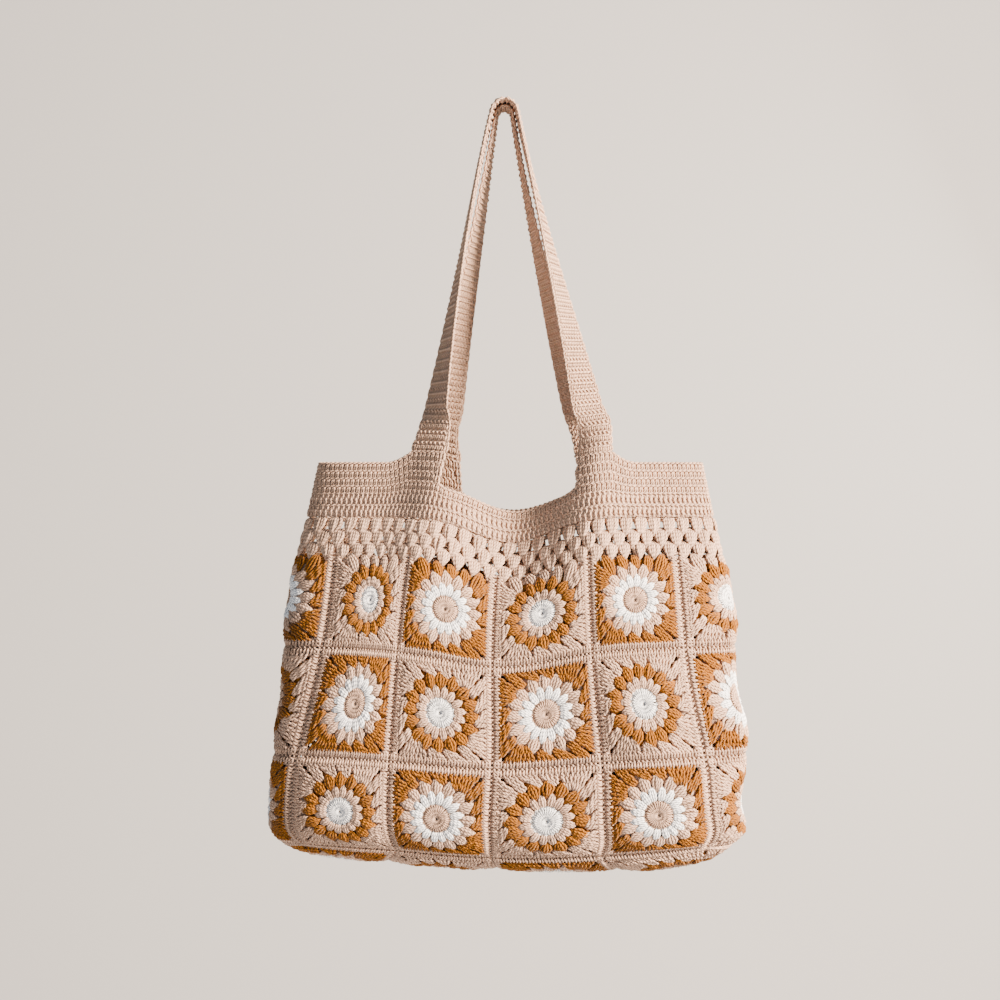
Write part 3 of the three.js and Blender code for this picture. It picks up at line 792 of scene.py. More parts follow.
class Edge(IntEnum):
    """The sides of a square, in quarter turns from its right."""

    RIGHT = 0
    TOP = 1
    LEFT = 2
    BOTTOM = 3

    def point(self, out: float, along: float) -> Array:
        """A place that is so far out from the square's middle towards this side, and so far along it.

        Args:
            out: Distance from the middle towards this side.
            along: Distance along it, anticlockwise.

        Returns:
            x and y.
        """
        cosine, sine = ((1, 0), (0, 1), (-1, 0), (0, -1))[self]
        return np.array([out * cosine - along * sine, out * sine + along * cosine])


@dataclass
class SunburstSquare:
    """One sunburst square: a disc, puffs, clusters, fans out to a square, and a border.

    Radii and places are in half squares from its middle, angles in degrees and yarn in millimetres.
    """

    patch: SquarePatch
    colours: SquareColours
    open_top: bool
    rng: np.random.Generator
    spin: float = 0.0

    ELEMENTS = 16
    STEP = 360 / ELEMENTS  # from one stitch of a round to the next
    UNEVEN = 0.9  # spread of the stitches' angles
    DISC_FOOT = 0.014
    DISC_HEAD = 0.262
    LOOP_RADIUS = 0.268
    LOOP_BULGE = 0.012
    LOOP_HALF = 7.5  # from the middle of a loop to its end
    LOOP_END_HEIGHT = -0.9
    LOOP_RISE = 0.35
    LOOP_YARN = 0.75
    LOOP_POINTS = 4
    PUFF_FOOT = 0.27
    PUFF_HEAD = {Yarn.WHITE: 0.545, Yarn.BEIGE: 0.51}
    PUFF_UNEVEN = 0.01
    CLUSTER_FOOT = 0.43
    CLUSTER_HEAD = {Yarn.OCHRE: 0.81, Yarn.BEIGE: 0.805}
    CLUSTER_LEAN = 1.2
    POSTS_A_SIDE = 12
    POSTS_A_CLUSTER = 4
    POST_PITCH = 0.098
    POST_FOOT = 0.665
    OUTER_POST_FOOT = 0.7
    POST_FOOT_PITCH = 0.03
    CORNER_SLOTS = (0.62, 0.702, 0.784)
    CORNER_FOOT = 0.68
    CORNER_FOOT_STEP = 0.012
    CORNER_TURN = 4.0  # from the foot of one corner post to the next
    CORNER_GAP = 2.6  # of those turns from the first foot to the diagonal
    CORNER_SPIN = 0.35  # share of the square's spin that a corner takes
    CROWN_FOOT = 0.62
    CROWN_HEAD = 0.93
    CROWN_CORNER_FOOT = 0.66
    CROWN_CORNER_HEAD = (0.68, 0.95)
    CROWN_CORNER_SPIN = 0.3
    CROWN_CORNER_SCALE = 1.25
    FAN_LINE = 0.876
    BORDER_LINE = 0.978
    BORDER_LAP = 0.045  # how far the border's feet reach in under the fans
    BORDER_STITCHES = 17
    BORDER_LEG = 0.3  # from a stitch's middle to its leg, as a share of the stitch
    BORDER_LEG_FOOT = 0.6
    BORDER_LEG_HEAD = 1.1
    WHIPS = 24
    WHIP_LAP = 0.4  # millimetres past the border's line
    WHIP_SLANT = 1.0  # millimetres along the seam, to each side of a stitch's middle
    BACKING_TOP = 0.86  # where the backing ends below the yoke
    BACKING_UNDER = -3.9
    BACKING_SECTORS = 48
    FAN_SECTORS = 96
    SQUARING = (0.6, 0.14)  # radius from which the rounds turn square, and how fast
    ROWS_ROUND = 32  # lines of the finish round a square's wrong side

    DISC = Cluster(
        strands=2,
        places=(0, 0.3, 0.7, 1),
        widths=(0.1, 0.42, 0.84, 1.15),
        heights=(-1.1, -0.75, -0.35, -0.9),
        radii=(0.25, 0.52, 0.88, 1.0),
        jitter=0.07,
    )
    PUFF = Cluster(
        strands=3,
        places=(0, 0.16, 0.45, 0.78, 1),
        widths=(1.2, 1.6, 2.2, 1.6, 0.3),
        heights=(-1.0, -0.1, 0.35, 0.15, -0.9),
        radii=(0.85, 1.1, 1.3, 1.15, 0.65),
        crown=0.35,
        corners=5,
    )
    POINTED = Cluster(
        strands=4,
        places=(0, 0.25, 0.5, 0.78, 1),
        widths=(0.2, 2.7, 4.3, 2.0, 0.05),
        heights=(-0.9, 0.5, 0.9, 0.4, -0.7),
        radii=(0.7, 1.2, 1.45, 1.05, 0.45),
        crown=0.7,
        twist=0.7,
        jitter=0.2,
        corners=5,
    )
    ROUNDED = Cluster(
        strands=4,
        places=(0, 0.25, 0.52, 0.8, 1),
        widths=(0.9, 3.1, 3.9, 1.9, 0.15),
        heights=(-1.1, -0.1, 0.4, -0.1, -1.2),
        radii=(0.8, 1.2, 1.45, 1.15, 0.55),
        crown=0.7,
        twist=0.5,
        jitter=0.2,
        corners=5,
    )
    CROWN_CLUSTER = Cluster(
        strands=4,
        places=(0, 0.25, 0.55, 0.82, 1),
        widths=(0.9, 2.5, 3.7, 2.6, 0.8),
        heights=(-1.1, -0.3, 0.2, -0.1, -1.0),
        radii=(0.75, 1.05, 1.2, 1.05, 0.7),
        crown=0.7,
        twist=0.4,
        corners=5,
    )
    FAN_POSTS = Posts(foot_lift=0.5)
    BORDER_STRAND = loop((-1.3, -0.45, -1.1), (1.0, 1.35, 1.1), 0.1)
    WHIP = loop((-1.5, -0.95, -1.5), (1.0, 1.3, 1.0), 0.1)

    def work(self, pieces: dict[Yarn, Piece]) -> None:
        """Work the whole square.

        Args:
            pieces: The piece for each yarn.
        """
        faces = {yarn: Face(piece, self.patch, self.rng) for yarn, piece in pieces.items()}
        self._disc(faces[self.colours.disc])
        self._puffs(faces[self.colours.puffs])
        self._clusters(faces[self.colours.clusters])
        self._fans(faces[self.colours.fans])
        self._border(faces[Yarn.BEIGE])
        self._seams(faces[Yarn.BEIGE])
        self._backing(pieces)

    def _angles(self, offset: float) -> Array:
        """Angles of a round's stitches.

        Args:
            offset: Angle of the first one before the square's spin.

        Returns:
            Degrees, a little uneven as handwork is.
        """
        steps = np.arange(self.ELEMENTS) * self.STEP + offset + self.spin
        return steps + self.rng.normal(0, self.UNEVEN, self.ELEMENTS)

    def _disc(self, face: Face) -> None:
        """Sixteen tall stitches from a small ring, and the loops along their tops.

        Args:
            face: The right side of the square, on the piece with this round's yarn.
        """
        angles = self._angles(0)
        self.DISC.work(face, polar(self.DISC_FOOT, angles), polar(self.DISC_HEAD, angles))
        t = np.linspace(-1, 1, self.LOOP_POINTS)
        arch = np.cos(t * math.pi / 2)
        ring = angles[:, None] + self.LOOP_HALF * t + self.STEP / 4
        places = polar(self.LOOP_RADIUS + self.LOOP_BULGE * arch, ring)
        h = np.broadcast_to(self.LOOP_END_HEIGHT + self.LOOP_RISE * arch, ring.shape)
        tone = self.rng.normal(0, 1, self.ELEMENTS)
        radius = np.full(ring.shape, self.LOOP_YARN)
        x, y = places[..., 0], places[..., 1]
        face.piece.strands(self.patch, x, y, h, radius, tone, self.DISC.corners)

    def _puffs(self, face: Face) -> None:
        """Sixteen puffs whose tips lie between the feet of the next round.

        Args:
            face: The right side of the square, on the piece with this round's yarn.
        """
        angles = self._angles(0)
        tips = self.PUFF_HEAD[self.colours.puffs] + self.rng.normal(0, self.PUFF_UNEVEN, self.ELEMENTS)
        self.PUFF.work(face, polar(self.PUFF_FOOT, angles), polar(tips, angles))

    def _clusters(self, face: Face) -> None:
        """Sixteen clusters, pointed in ochre and round-headed in beige.

        Args:
            face: The right side of the square, on the piece with this round's yarn.
        """
        yarn = self.colours.clusters
        angles = self._angles(self.STEP / 2)
        leaning = angles + self.rng.normal(0, self.CLUSTER_LEAN, self.ELEMENTS)
        kind = self.POINTED if yarn is Yarn.OCHRE else self.ROUNDED
        kind.work(face, polar(self.CLUSTER_FOOT, angles), polar(self.CLUSTER_HEAD[yarn], leaning))

    def _closed_edges(self) -> list[Edge]:
        """The sides that have fans and a border: all four, or three where the yoke grows from the top."""
        return [edge for edge in Edge if not (self.open_top and edge is Edge.TOP)]

    def _fans(self, face: Face) -> None:
        """Four fans at the corners and three clusters along each side, spread into posts.

        Args:
            face: The right side of the square, on the piece with this round's yarn.
        """
        starts, ends = [], []
        slots = (np.arange(self.POSTS_A_SIDE) - (self.POSTS_A_SIDE - 1) / 2) * self.POST_PITCH
        for edge in self._closed_edges():
            for k, slot in enumerate(slots):
                cluster = k // self.POSTS_A_CLUSTER - 1
                place = k % self.POSTS_A_CLUSTER - (self.POSTS_A_CLUSTER - 1) / 2
                radius = self.OUTER_POST_FOOT if abs(place) > 1 else self.POST_FOOT
                foot = polar(radius, edge * 90 + cluster * self.STEP + self.spin)
                starts.append(foot + edge.point(0, place * self.POST_FOOT_PITCH * HALF_SQUARE))
                ends.append(edge.point(self.FAN_LINE * HALF_SQUARE, slot * HALF_SQUARE))
            for hand in (-1, 1):
                for k, slot in enumerate(self.CORNER_SLOTS):
                    from_diagonal = self.CORNER_TURN * (self.CORNER_GAP - k)
                    angle = edge * 90 + hand * (45 - from_diagonal) + self.CORNER_SPIN * self.spin
                    starts.append(polar(self.CORNER_FOOT + self.CORNER_FOOT_STEP * (2 - k), angle))
                    ends.append(edge.point(self.FAN_LINE * HALF_SQUARE, hand * slot * HALF_SQUARE))
        self.FAN_POSTS.work(face, np.array(starts), np.array(ends))
        if self.open_top:
            self._crown(face)

    def _crown(self, face: Face) -> None:
        """The top side of the top row: clusters drawn together again, for the yoke to grow between.

        Args:
            face: The right side of the square, on the piece with this round's yarn.
        """
        x = np.array([-1 / 3, 0, 1 / 3])
        angles = 90 - x * 3 * self.STEP + self.spin
        heads = pairs(x * HALF_SQUARE, self.CROWN_HEAD * HALF_SQUARE)
        self.CROWN_CLUSTER.work(face, polar(self.CROWN_FOOT, angles), heads)
        corner = np.array([135.0, 45.0]) + self.CROWN_CORNER_SPIN * self.spin
        across, up = self.CROWN_CORNER_HEAD
        heads = pairs(np.array([-across, across]), up) * HALF_SQUARE
        feet = polar(self.CROWN_CORNER_FOOT, corner)
        self.CROWN_CLUSTER.work(face, feet, heads, self.CROWN_CORNER_SCALE)

    def _border(self, face: Face) -> None:
        """One row of short stitches along each side, each a pair of legs.

        Args:
            face: The right side of the square, on the piece with this round's yarn.
        """
        starts, ends = [], []
        pitch = 2 * self.BORDER_LINE / self.BORDER_STITCHES
        low = (self.FAN_LINE - self.BORDER_LAP) * HALF_SQUARE
        limit = self.BORDER_LINE * HALF_SQUARE
        for edge in self._closed_edges():
            for k in range(self.BORDER_STITCHES):
                slot = -self.BORDER_LINE + (k + 0.5) * pitch
                for leg in (-self.BORDER_LEG, self.BORDER_LEG):
                    along = (slot + leg * pitch * self.BORDER_LEG_FOOT) * HALF_SQUARE
                    over = (slot + leg * pitch * self.BORDER_LEG_HEAD) * HALF_SQUARE
                    starts.append(edge.point(low, np.clip(along, -limit, limit)))
                    ends.append(edge.point(limit, np.clip(over, -limit, limit)))
        self.BORDER_STRAND.work(face, np.array(starts), np.array(ends))

    def _seams(self, face: Face) -> None:
        """Slanting stitches that join the square to the ones on its right and below it.

        Args:
            face: The right side of the square, on the piece with this round's yarn.
        """
        slots = ((np.arange(self.WHIPS) + 0.5) / self.WHIPS * 2 - 1) * HALF_SQUARE
        reach = (2 - self.BORDER_LINE) * HALF_SQUARE + self.WHIP_LAP
        near = self.BORDER_LINE * HALF_SQUARE - self.WHIP_LAP
        for edge in (Edge.RIGHT, Edge.BOTTOM):
            start = np.array([edge.point(near, slot - self.WHIP_SLANT) for slot in slots])
            end = np.array([edge.point(reach, slot + self.WHIP_SLANT) for slot in slots])
            self.WHIP.work(face, start, end)

    def _backing(self, pieces: dict[Yarn, Piece]) -> None:
        """The wrong side of the rounds, which closes the cloth behind the stitches.

        Args:
            pieces: The piece for each yarn.
        """
        few, many = self.BACKING_SECTORS, self.FAN_SECTORS
        rounds = (
            (self.colours.disc, (0.02, 0.15, 0.27), -2.4, few),
            (self.colours.puffs, (0.27, 0.38, 0.5), -2.4, few),
            (self.colours.clusters, (0.5, 0.6, 0.66, 0.74), -2.4, few),
            (self.colours.fans, (0.74, 0.78, 0.87, 0.89), -2.0, many),
            (Yarn.BEIGE, (0.89, 0.998), -2.0, few),
        )
        from_radius, over = self.SQUARING
        for yarn, radii, top, sectors in rounds:
            angle = (np.arange(sectors + 1) + 0.5) / sectors * 2 * math.pi
            square = 1 / np.maximum(np.abs(np.cos(angle)), np.abs(np.sin(angle)))
            r = np.array(radii)[:, None]
            blend = np.clip((r - from_radius) / over, 0, 1)
            reach = r * ((1 - blend) + blend * square)
            x = reach * np.cos(angle) * HALF_SQUARE
            y = reach * np.sin(angle) * HALF_SQUARE
            if self.open_top:
                y = np.minimum(y, self.BACKING_TOP * HALF_SQUARE)
            outer, inner = (
                self.patch.place(x[:, :-1], y[:, :-1], np.full(x[:, :-1].shape, height))[0]
                for height in (top, self.BACKING_UNDER)
            )
            keep = np.ones((len(radii) - 1, sectors), dtype=bool)
            if sectors == self.FAN_SECTORS:
                keep[1, self._corner_cells()] = False
            lines = np.broadcast_to(np.arange(sectors + 1) / sectors * self.ROWS_ROUND, x.shape)
            uvs = np.stack([lines, np.broadcast_to(r * HALF_SQUARE, x.shape)], -1)
            pieces[yarn].sheet_between(outer, inner, keep, True, uvs)

    def _corner_cells(self) -> list[int]:
        """The cells of the fans' backing where the slits of the corner fans go through."""
        kept = [degrees for degrees in (45, 135, 225, 315) if degrees > 180 or not self.open_top]
        return [int(degrees / 360 * self.FAN_SECTORS - 0.5) for degrees in kept]


@dataclass
class Panels:
    """The squares of the walls and the base."""

    shape: BagShape
    finishes: Finishes

    FACES = (
        ("front", -HALF, FRONT_SQUARES),
        ("right", HALF, GUSSET_SQUARES),
        ("back", HALF + GUSSET_SQUARES, FRONT_SQUARES),
        ("left", -HALF - GUSSET_SQUARES, GUSSET_SQUARES),
    )
    FACE_SEED = 1000
    ROW_SEED = 10
    BASE_SEED = 9000
    SPIN = (-12, -6)  # degrees that the rounds of a square lag behind its sides

    def build(self) -> None:
        """Work every square, one mesh for each panel and yarn."""
        for number, (name, first, count) in enumerate(self.FACES):
            nodes = [f"{name}_square_{row + 1}_{k + 1}" for row in range(ROWS) for k in range(count)]
            pieces = self._pieces(f"{name}_panel", nodes)
            for row in range(ROWS):
                for k in range(count):
                    column = first + k
                    rng = np.random.default_rng(self.FACE_SEED * number + self.ROW_SEED * row + k)
                    patch = SquarePatch(self.shape, column, row)
                    self._square(patch, int(column + row), row == ROWS - 1, rng).work(pieces)
            self._finish(pieces)
        pieces = self._pieces("base_panel", [f"base_square_{k + 1}" for k in range(FRONT_SQUARES)])
        for k in range(FRONT_SQUARES):
            patch = SquarePatch(self.shape, k, 0, in_base=True)
            rng = np.random.default_rng(self.BASE_SEED + k)
            self._square(patch, int(k - HALF - 1), False, rng).work(pieces)
        self._finish(pieces)

    @staticmethod
    def _pieces(name: str, nodes: list[str]) -> dict[Yarn, Piece]:
        """Start one piece for each yarn."""
        return {yarn: Piece(f"{name}_{yarn.name.lower()}", yarn, nodes) for yarn in Yarn}

    def _square(
        self, patch: SquarePatch, parity: int, open_top: bool, rng: np.random.Generator
    ) -> SunburstSquare:
        """Choose a square's colours and spin.

        Args:
            patch: Its cloth.
            parity: Column plus row, which alternates the colours.
            open_top: True for the row that the yoke grows from.
            rng: Source of its small differences.

        Returns:
            The square, ready to work.
        """
        colours = CREAM_EDGED if parity % 2 == 0 else OCHRE_EDGED
        return SunburstSquare(patch, colours, open_top, rng, spin=float(rng.uniform(*self.SPIN)))

    def _finish(self, pieces: dict[Yarn, Piece]) -> None:
        """Make the meshes of one panel."""
        for yarn, piece in pieces.items():
            piece.build(self.finishes[yarn])


@dataclass
class YokePatch(Patch):
    """Cloth that runs round the bag, with x in millimetres before it is gathered."""

    shape: BagShape

    def place(self, x: Array, y: Array, h: Array) -> tuple[Array, Array]:
        """Move flat coordinates to the wall, a square being as wide as it is flat."""
        return self.shape.on_wall(x / SQUARE, y, h)


@dataclass
class Yoke:
    """Three rows of clusters, each row growing between the heads of the one below."""

    shape: BagShape
    finishes: Finishes

    ROWS = 3
    A_SQUARE = 6
    ROW_PITCH = 10.8
    FIRST_FOOT = 262.5
    HEIGHT = 16.8  # of a cluster, from its foot to its head
    CHAIN_DROP = 2.6  # from the heads of the clusters down to the chain behind them
    UNEVEN_ACROSS = 0.8
    UNEVEN_UP = 0.5
    SEED = 77
    CLUSTER = Cluster(
        strands=5,
        places=(0, 0.25, 0.52, 0.8, 1),
        widths=(0.1, 2.1, 4.5, 4.9, 1.5),
        heights=(-1.5, -0.4, -0.2, -0.9, -2.8),
        radii=(0.65, 1.2, 1.65, 1.6, 0.9),
        crown=0.8,
        twist=0.4,
        jitter=0.3,
        corners=5,
    )
    CHAIN = Cluster(
        strands=2,
        places=(0, 0.33, 0.67, 1),
        widths=(0.9, 0.9, 0.9, 0.9),
        heights=(-2.9, -2.7, -2.7, -2.9),
        radii=(0.8, 0.95, 0.95, 0.8),
        jitter=0.15,
    )

    def build(self) -> None:
        """Work the three rows."""
        piece = Piece("yoke_clusters", Yarn.BEIGE, ["yoke"])
        rng = np.random.default_rng(self.SEED)
        face = Face(piece, YokePatch(self.shape), rng)
        count = AROUND * self.A_SQUARE
        half = SQUARE / self.A_SQUARE / 2
        for row in range(self.ROWS):
            x = (np.arange(count) + 0.5 + 0.5 * (row % 2)) / self.A_SQUARE * SQUARE
            foot = self.FIRST_FOOT + row * self.ROW_PITCH
            head_x = x + rng.normal(0, self.UNEVEN_ACROSS, count)
            head_y = foot + self.HEIGHT + rng.normal(0, self.UNEVEN_UP, count)
            self.CLUSTER.work(face, pairs(x, foot), pairs(head_x, head_y))
            y = foot + (self.HEIGHT - self.CHAIN_DROP)
            self.CHAIN.work(face, pairs(x - half, y), pairs(x + half, y))
        piece.build(self.finishes[Yarn.BEIGE])


@dataclass(frozen=True)
class Leg:
    """One leg of a strap: its foot on the rim, how soon it turns edge-on, and how far it bends."""

    foot: float
    twist: float
    bow: float


@dataclass(frozen=True)
class Strap:
    """A strap: how many straps lie below it at the peak, how far along the peak it lies, and its legs."""

    name: str
    layer: int
    deep: float
    left: Leg
    right: Leg


STRAPS = (
    Strap("strap_front", 1, -0.2, Leg(-1.06, 2.1, 0.01), Leg(1.02, 1.6, -0.012)),
    Strap("strap_back", 0, 0.2, Leg(5.85, 1.3, -0.01), Leg(3.92, 1.8, -0.032)),
)


@dataclass
class MouthBand:
    """Two rows of tall stitches and, at the sides, rows of short ones up to the rim."""

    shape: BagShape
    finishes: Finishes

    POST_PITCH = 4.4
    POST_LEAN = 0.6  # how far a post's head lies past its foot
    TALL_ROWS = 2
    TALL_ROW = 10.4
    SHORT_ROW = 6.7
    LAST_SHARE = 0.4  # share of a short row that has to fit under the rim
    CHAIN_HALF = 0.55  # from the middle of a chain loop to its end, as a share of a stitch
    CHAIN_FROM = -0.9  # a loop's ends, up from the heads of the posts
    CHAIN_TO = 0.3
    LEG_FOOT = 0.2  # from a short stitch's middle to its leg, as a share of the stitch
    LEG_HEAD = 0.45
    LEG_LAP = 0.4  # how far its feet reach into the row below
    START = -1.5  # first row's feet, from the top of the yoke
    INNER_SHOULDER = 12.0  # length of the rows' climb on a foot's inner side
    LIFT_POWER = 1.4  # how much more the upper rows climb than the lower ones
    COUNTED_AT = 10  # height over the yoke where the stitches fill the way round
    DIP_REACH = 0.9  # share of half the front within which a rim between two feet dips
    DEPTH = 1.8  # from the outside of the cloth to its middle
    THICK = 1.0  # of the closed cloth between the faces
    EDGE_LOOP = 6.0  # length of a loop of the chain up a foot's inner edge
    EDGE_LAP = 1.1  # reach of a loop, as a share of its length
    EDGE_INSET = 1.0
    CORE_LAP = 1.0  # how far the closed cloth reaches down behind the yoke
    CORE_ROWS = 8
    CORE_STEPS = 24
    LONG_STRETCH = 2  # squares past which a stretch of the core has twice the steps
    SEED = 78
    POSTS = Posts(radius=1.05, spread=0.75, turns=0.75, steps=5, height=-1.35, arch=0.3, taper=0.85)
    CHAIN = loop((-1.4, -0.6, -1.4), (0.95, 1.2, 0.95), 0.08)
    FOOT_EDGE = Cluster(
        strands=2,
        places=(0, 0.3, 0.7, 1),
        widths=(0.4, 1.9, 1.9, 0.4),
        heights=(-1.6, -0.9, -0.8, -1.2),
        radii=(0.85, 1.25, 1.25, 0.85),
        jitter=0.08,
    )

    def __post_init__(self) -> None:
        """Work out the places of the straps' feet and the number of stitches round the bag."""
        self.foot_half = self.shape.rim_span(STRAP_WIDTH) / 2
        front, back = STRAPS
        legs = ((front.left, 1), (front.right, -1), (back.right, 1), (back.left, -1))
        self.feet = [(leg.foot, hand) for leg, hand in legs]
        total = float(np.interp(YOKE_TOP + self.COUNTED_AT, self.shape.levels, self.shape.totals))
        self.count = int(round(total / self.POST_PITCH))
        self.scale = AROUND * SQUARE / total

    def rise(self, u: Array) -> Array:
        """How far the rows climb towards the straps.

        Args:
            u: Places round the bag in squares.

        Returns:
            Heights in millimetres at the rim.
        """
        outside = self.shape.rim_span(SHOULDER_RUN)
        inside = self.shape.rim_span(self.INNER_SHOULDER)
        total = np.zeros(u.shape)
        for foot, hand in self.feet:
            inward = turn_between(foot, u) * hand
            beyond = np.maximum(-inward - self.foot_half, 0) / outside
            within = np.maximum(inward - self.foot_half, 0) / inside
            share = np.clip(1 - beyond, 0, 1) ** 2 * np.clip(1 - within, 0, 1) ** 2
            total = np.maximum(total, SHOULDER_RISE * share)
        return total

    def between_feet(self, u: Array) -> Array:
        """True where the rim dips between the two legs of a strap.

        Args:
            u: Places round the bag in squares.

        Returns:
            One truth value for each place.
        """
        inner = np.zeros(u.shape, dtype=bool)
        for foot, hand in self.feet:
            inward = turn_between(foot, u) * hand
            inner |= (inward > self.foot_half) & (inward < self.DIP_REACH * HALF)
        return inner

    def lifted(self, u: Array, level: Array) -> Array:
        """Move a row's height up where the rows climb.

        Args:
            u: Places round the bag in squares.
            level: Heights of the row away from the straps.

        Returns:
            Heights along the cloth.
        """
        share = np.clip((level - YOKE_TOP) / BAND_HIGH, 0, 1)
        return level + self.rise(u) * share**self.LIFT_POWER

    def build(self) -> None:
        """Work the band from the yoke up to the rim, on both faces."""
        piece = Piece("mouth_band_stitches", Yarn.BEIGE, ["mouth_band"])
        rng = np.random.default_rng(self.SEED)
        patch = BandPatch(self.shape, self)
        faces = [Face(piece, patch, rng, side, self.DEPTH) for side in (1.0, -1.0)]
        for face in faces:
            self._rows(face)
        self._foot_edges(faces)
        self._core(piece)
        piece.build(self.finishes[Yarn.BEIGE])

    def _edge_reach(self) -> float:
        """From the middle of a strap's foot to the chain on its inner edge, in squares."""
        return self.foot_half - self.shape.rim_span(self.EDGE_INSET)

    def _foot_edges(self, faces: list[Face]) -> None:
        """A chain up the inner edge of each strap's foot, from the dip to the strap.

        Args:
            faces: The outside and the inside of the band.
        """
        low = YOKE_TOP + BAND_LOW - self.EDGE_LOOP / 2
        count = int(round((SIDE_RIM - low) / self.EDGE_LOOP))
        length = (SIDE_RIM - low) / count
        y = low + np.arange(count) * length
        for foot, hand in self.feet:
            x = (foot + hand * self._edge_reach()) * SQUARE
            for face in faces:
                self.FOOT_EDGE.work(face, pairs(x, y), pairs(x, y + self.EDGE_LAP * length))

    def _rows(self, face: Face) -> None:
        """All the rows of one face of the band.

        Args:
            face: The outside or the inside.
        """
        x = np.arange(self.count) / self.count * AROUND * SQUARE
        half_stitch = 0.5 * self.POST_PITCH * self.scale
        level = YOKE_TOP + self.START
        for row in range(self.TALL_ROWS):
            at = x + row % 2 * half_stitch
            heads = pairs(at + self.POST_LEAN, level + self.TALL_ROW)
            self.POSTS.work(face, pairs(at, level), heads, self.scale)
            level += self.TALL_ROW
            self._chain(face, at, level)
        row = 0
        while level < SIDE_RIM - self.LAST_SHARE * self.SHORT_ROW:
            at = x + row % 2 * half_stitch
            kept = ~self.between_feet(at / SQUARE) if row else np.ones(len(x), dtype=bool)
            self._short_row(face, at[kept], level)
            level += self.SHORT_ROW
            row += 1

    def _chain(self, face: Face, x: Array, level: float) -> None:
        """A row of chain loops along the heads of the posts.

        Args:
            face: The outside or the inside.
            x: Places of the posts.
            level: Height of the chain.
        """
        half = self.POST_PITCH * self.scale * self.CHAIN_HALF
        feet, heads = pairs(x - half, level + self.CHAIN_FROM), pairs(x + half, level + self.CHAIN_TO)
        self.CHAIN.work(face, feet, heads)

    def _short_row(self, face: Face, x: Array, level: float) -> None:
        """A row of short stitches, each a pair of legs under a chain loop.

        Args:
            face: The outside or the inside.
            x: Places of the stitches.
            level: Height of the row's foot.
        """
        for leg in (-1, 1):
            foot = x + leg * self.LEG_FOOT * self.POST_PITCH * self.scale
            head = x + leg * self.LEG_HEAD * self.POST_PITCH * self.scale
            feet, heads = pairs(foot, level - self.LEG_LAP), pairs(head, level + self.SHORT_ROW)
            self.CHAIN.work(face, feet, heads)
        self._chain(face, x, level + self.SHORT_ROW)

    def _core(self, piece: Piece) -> None:
        """The closed cloth between the two faces, in stretches with the same number of rows.

        Args:
            piece: The piece that takes the sheets.
        """
        edges = sorted((foot + hand * self._edge_reach()) % AROUND for foot, hand in self.feet)
        for start, end in zip(edges, edges[1:] + [edges[0] + AROUND]):
            steps = self.CORE_STEPS * (2 if end - start > self.LONG_STRETCH else 1)
            u = np.linspace(start, end, steps + 1)
            middle = np.array((start + end) / 2)
            top = YOKE_TOP + BAND_LOW if bool(self.between_feet(middle)) else SIDE_RIM
            y = YOKE_TOP - self.CORE_LAP + (top - YOKE_TOP) * np.linspace(0, 1, self.CORE_ROWS + 1)[:, None]
            y = self.lifted(u, np.broadcast_to(y, (self.CORE_ROWS + 1, len(u))))
            x = np.broadcast_to(u, y.shape)
            outer, inner = (
                self.shape.on_wall(x, y, np.full(y.shape, face * self.THICK / 2 - self.DEPTH))[0]
                for face in (1, -1)
            )
            uvs = np.stack([x * SQUARE / self.POST_PITCH, y], -1)
            piece.sheet_between(outer, inner, np.ones((self.CORE_ROWS, steps), dtype=bool), False, uvs)


@dataclass
class BandPatch(Patch):
    """The band's cloth, whose rows climb towards the straps."""

    shape: BagShape
    band: MouthBand

    def place(self, x: Array, y: Array, h: Array) -> tuple[Array, Array]:
        """Move flat coordinates to the wall, a square being as wide as it is flat."""
        return self.shape.on_wall(x / SQUARE, self.band.lifted(x / SQUARE, y), h)


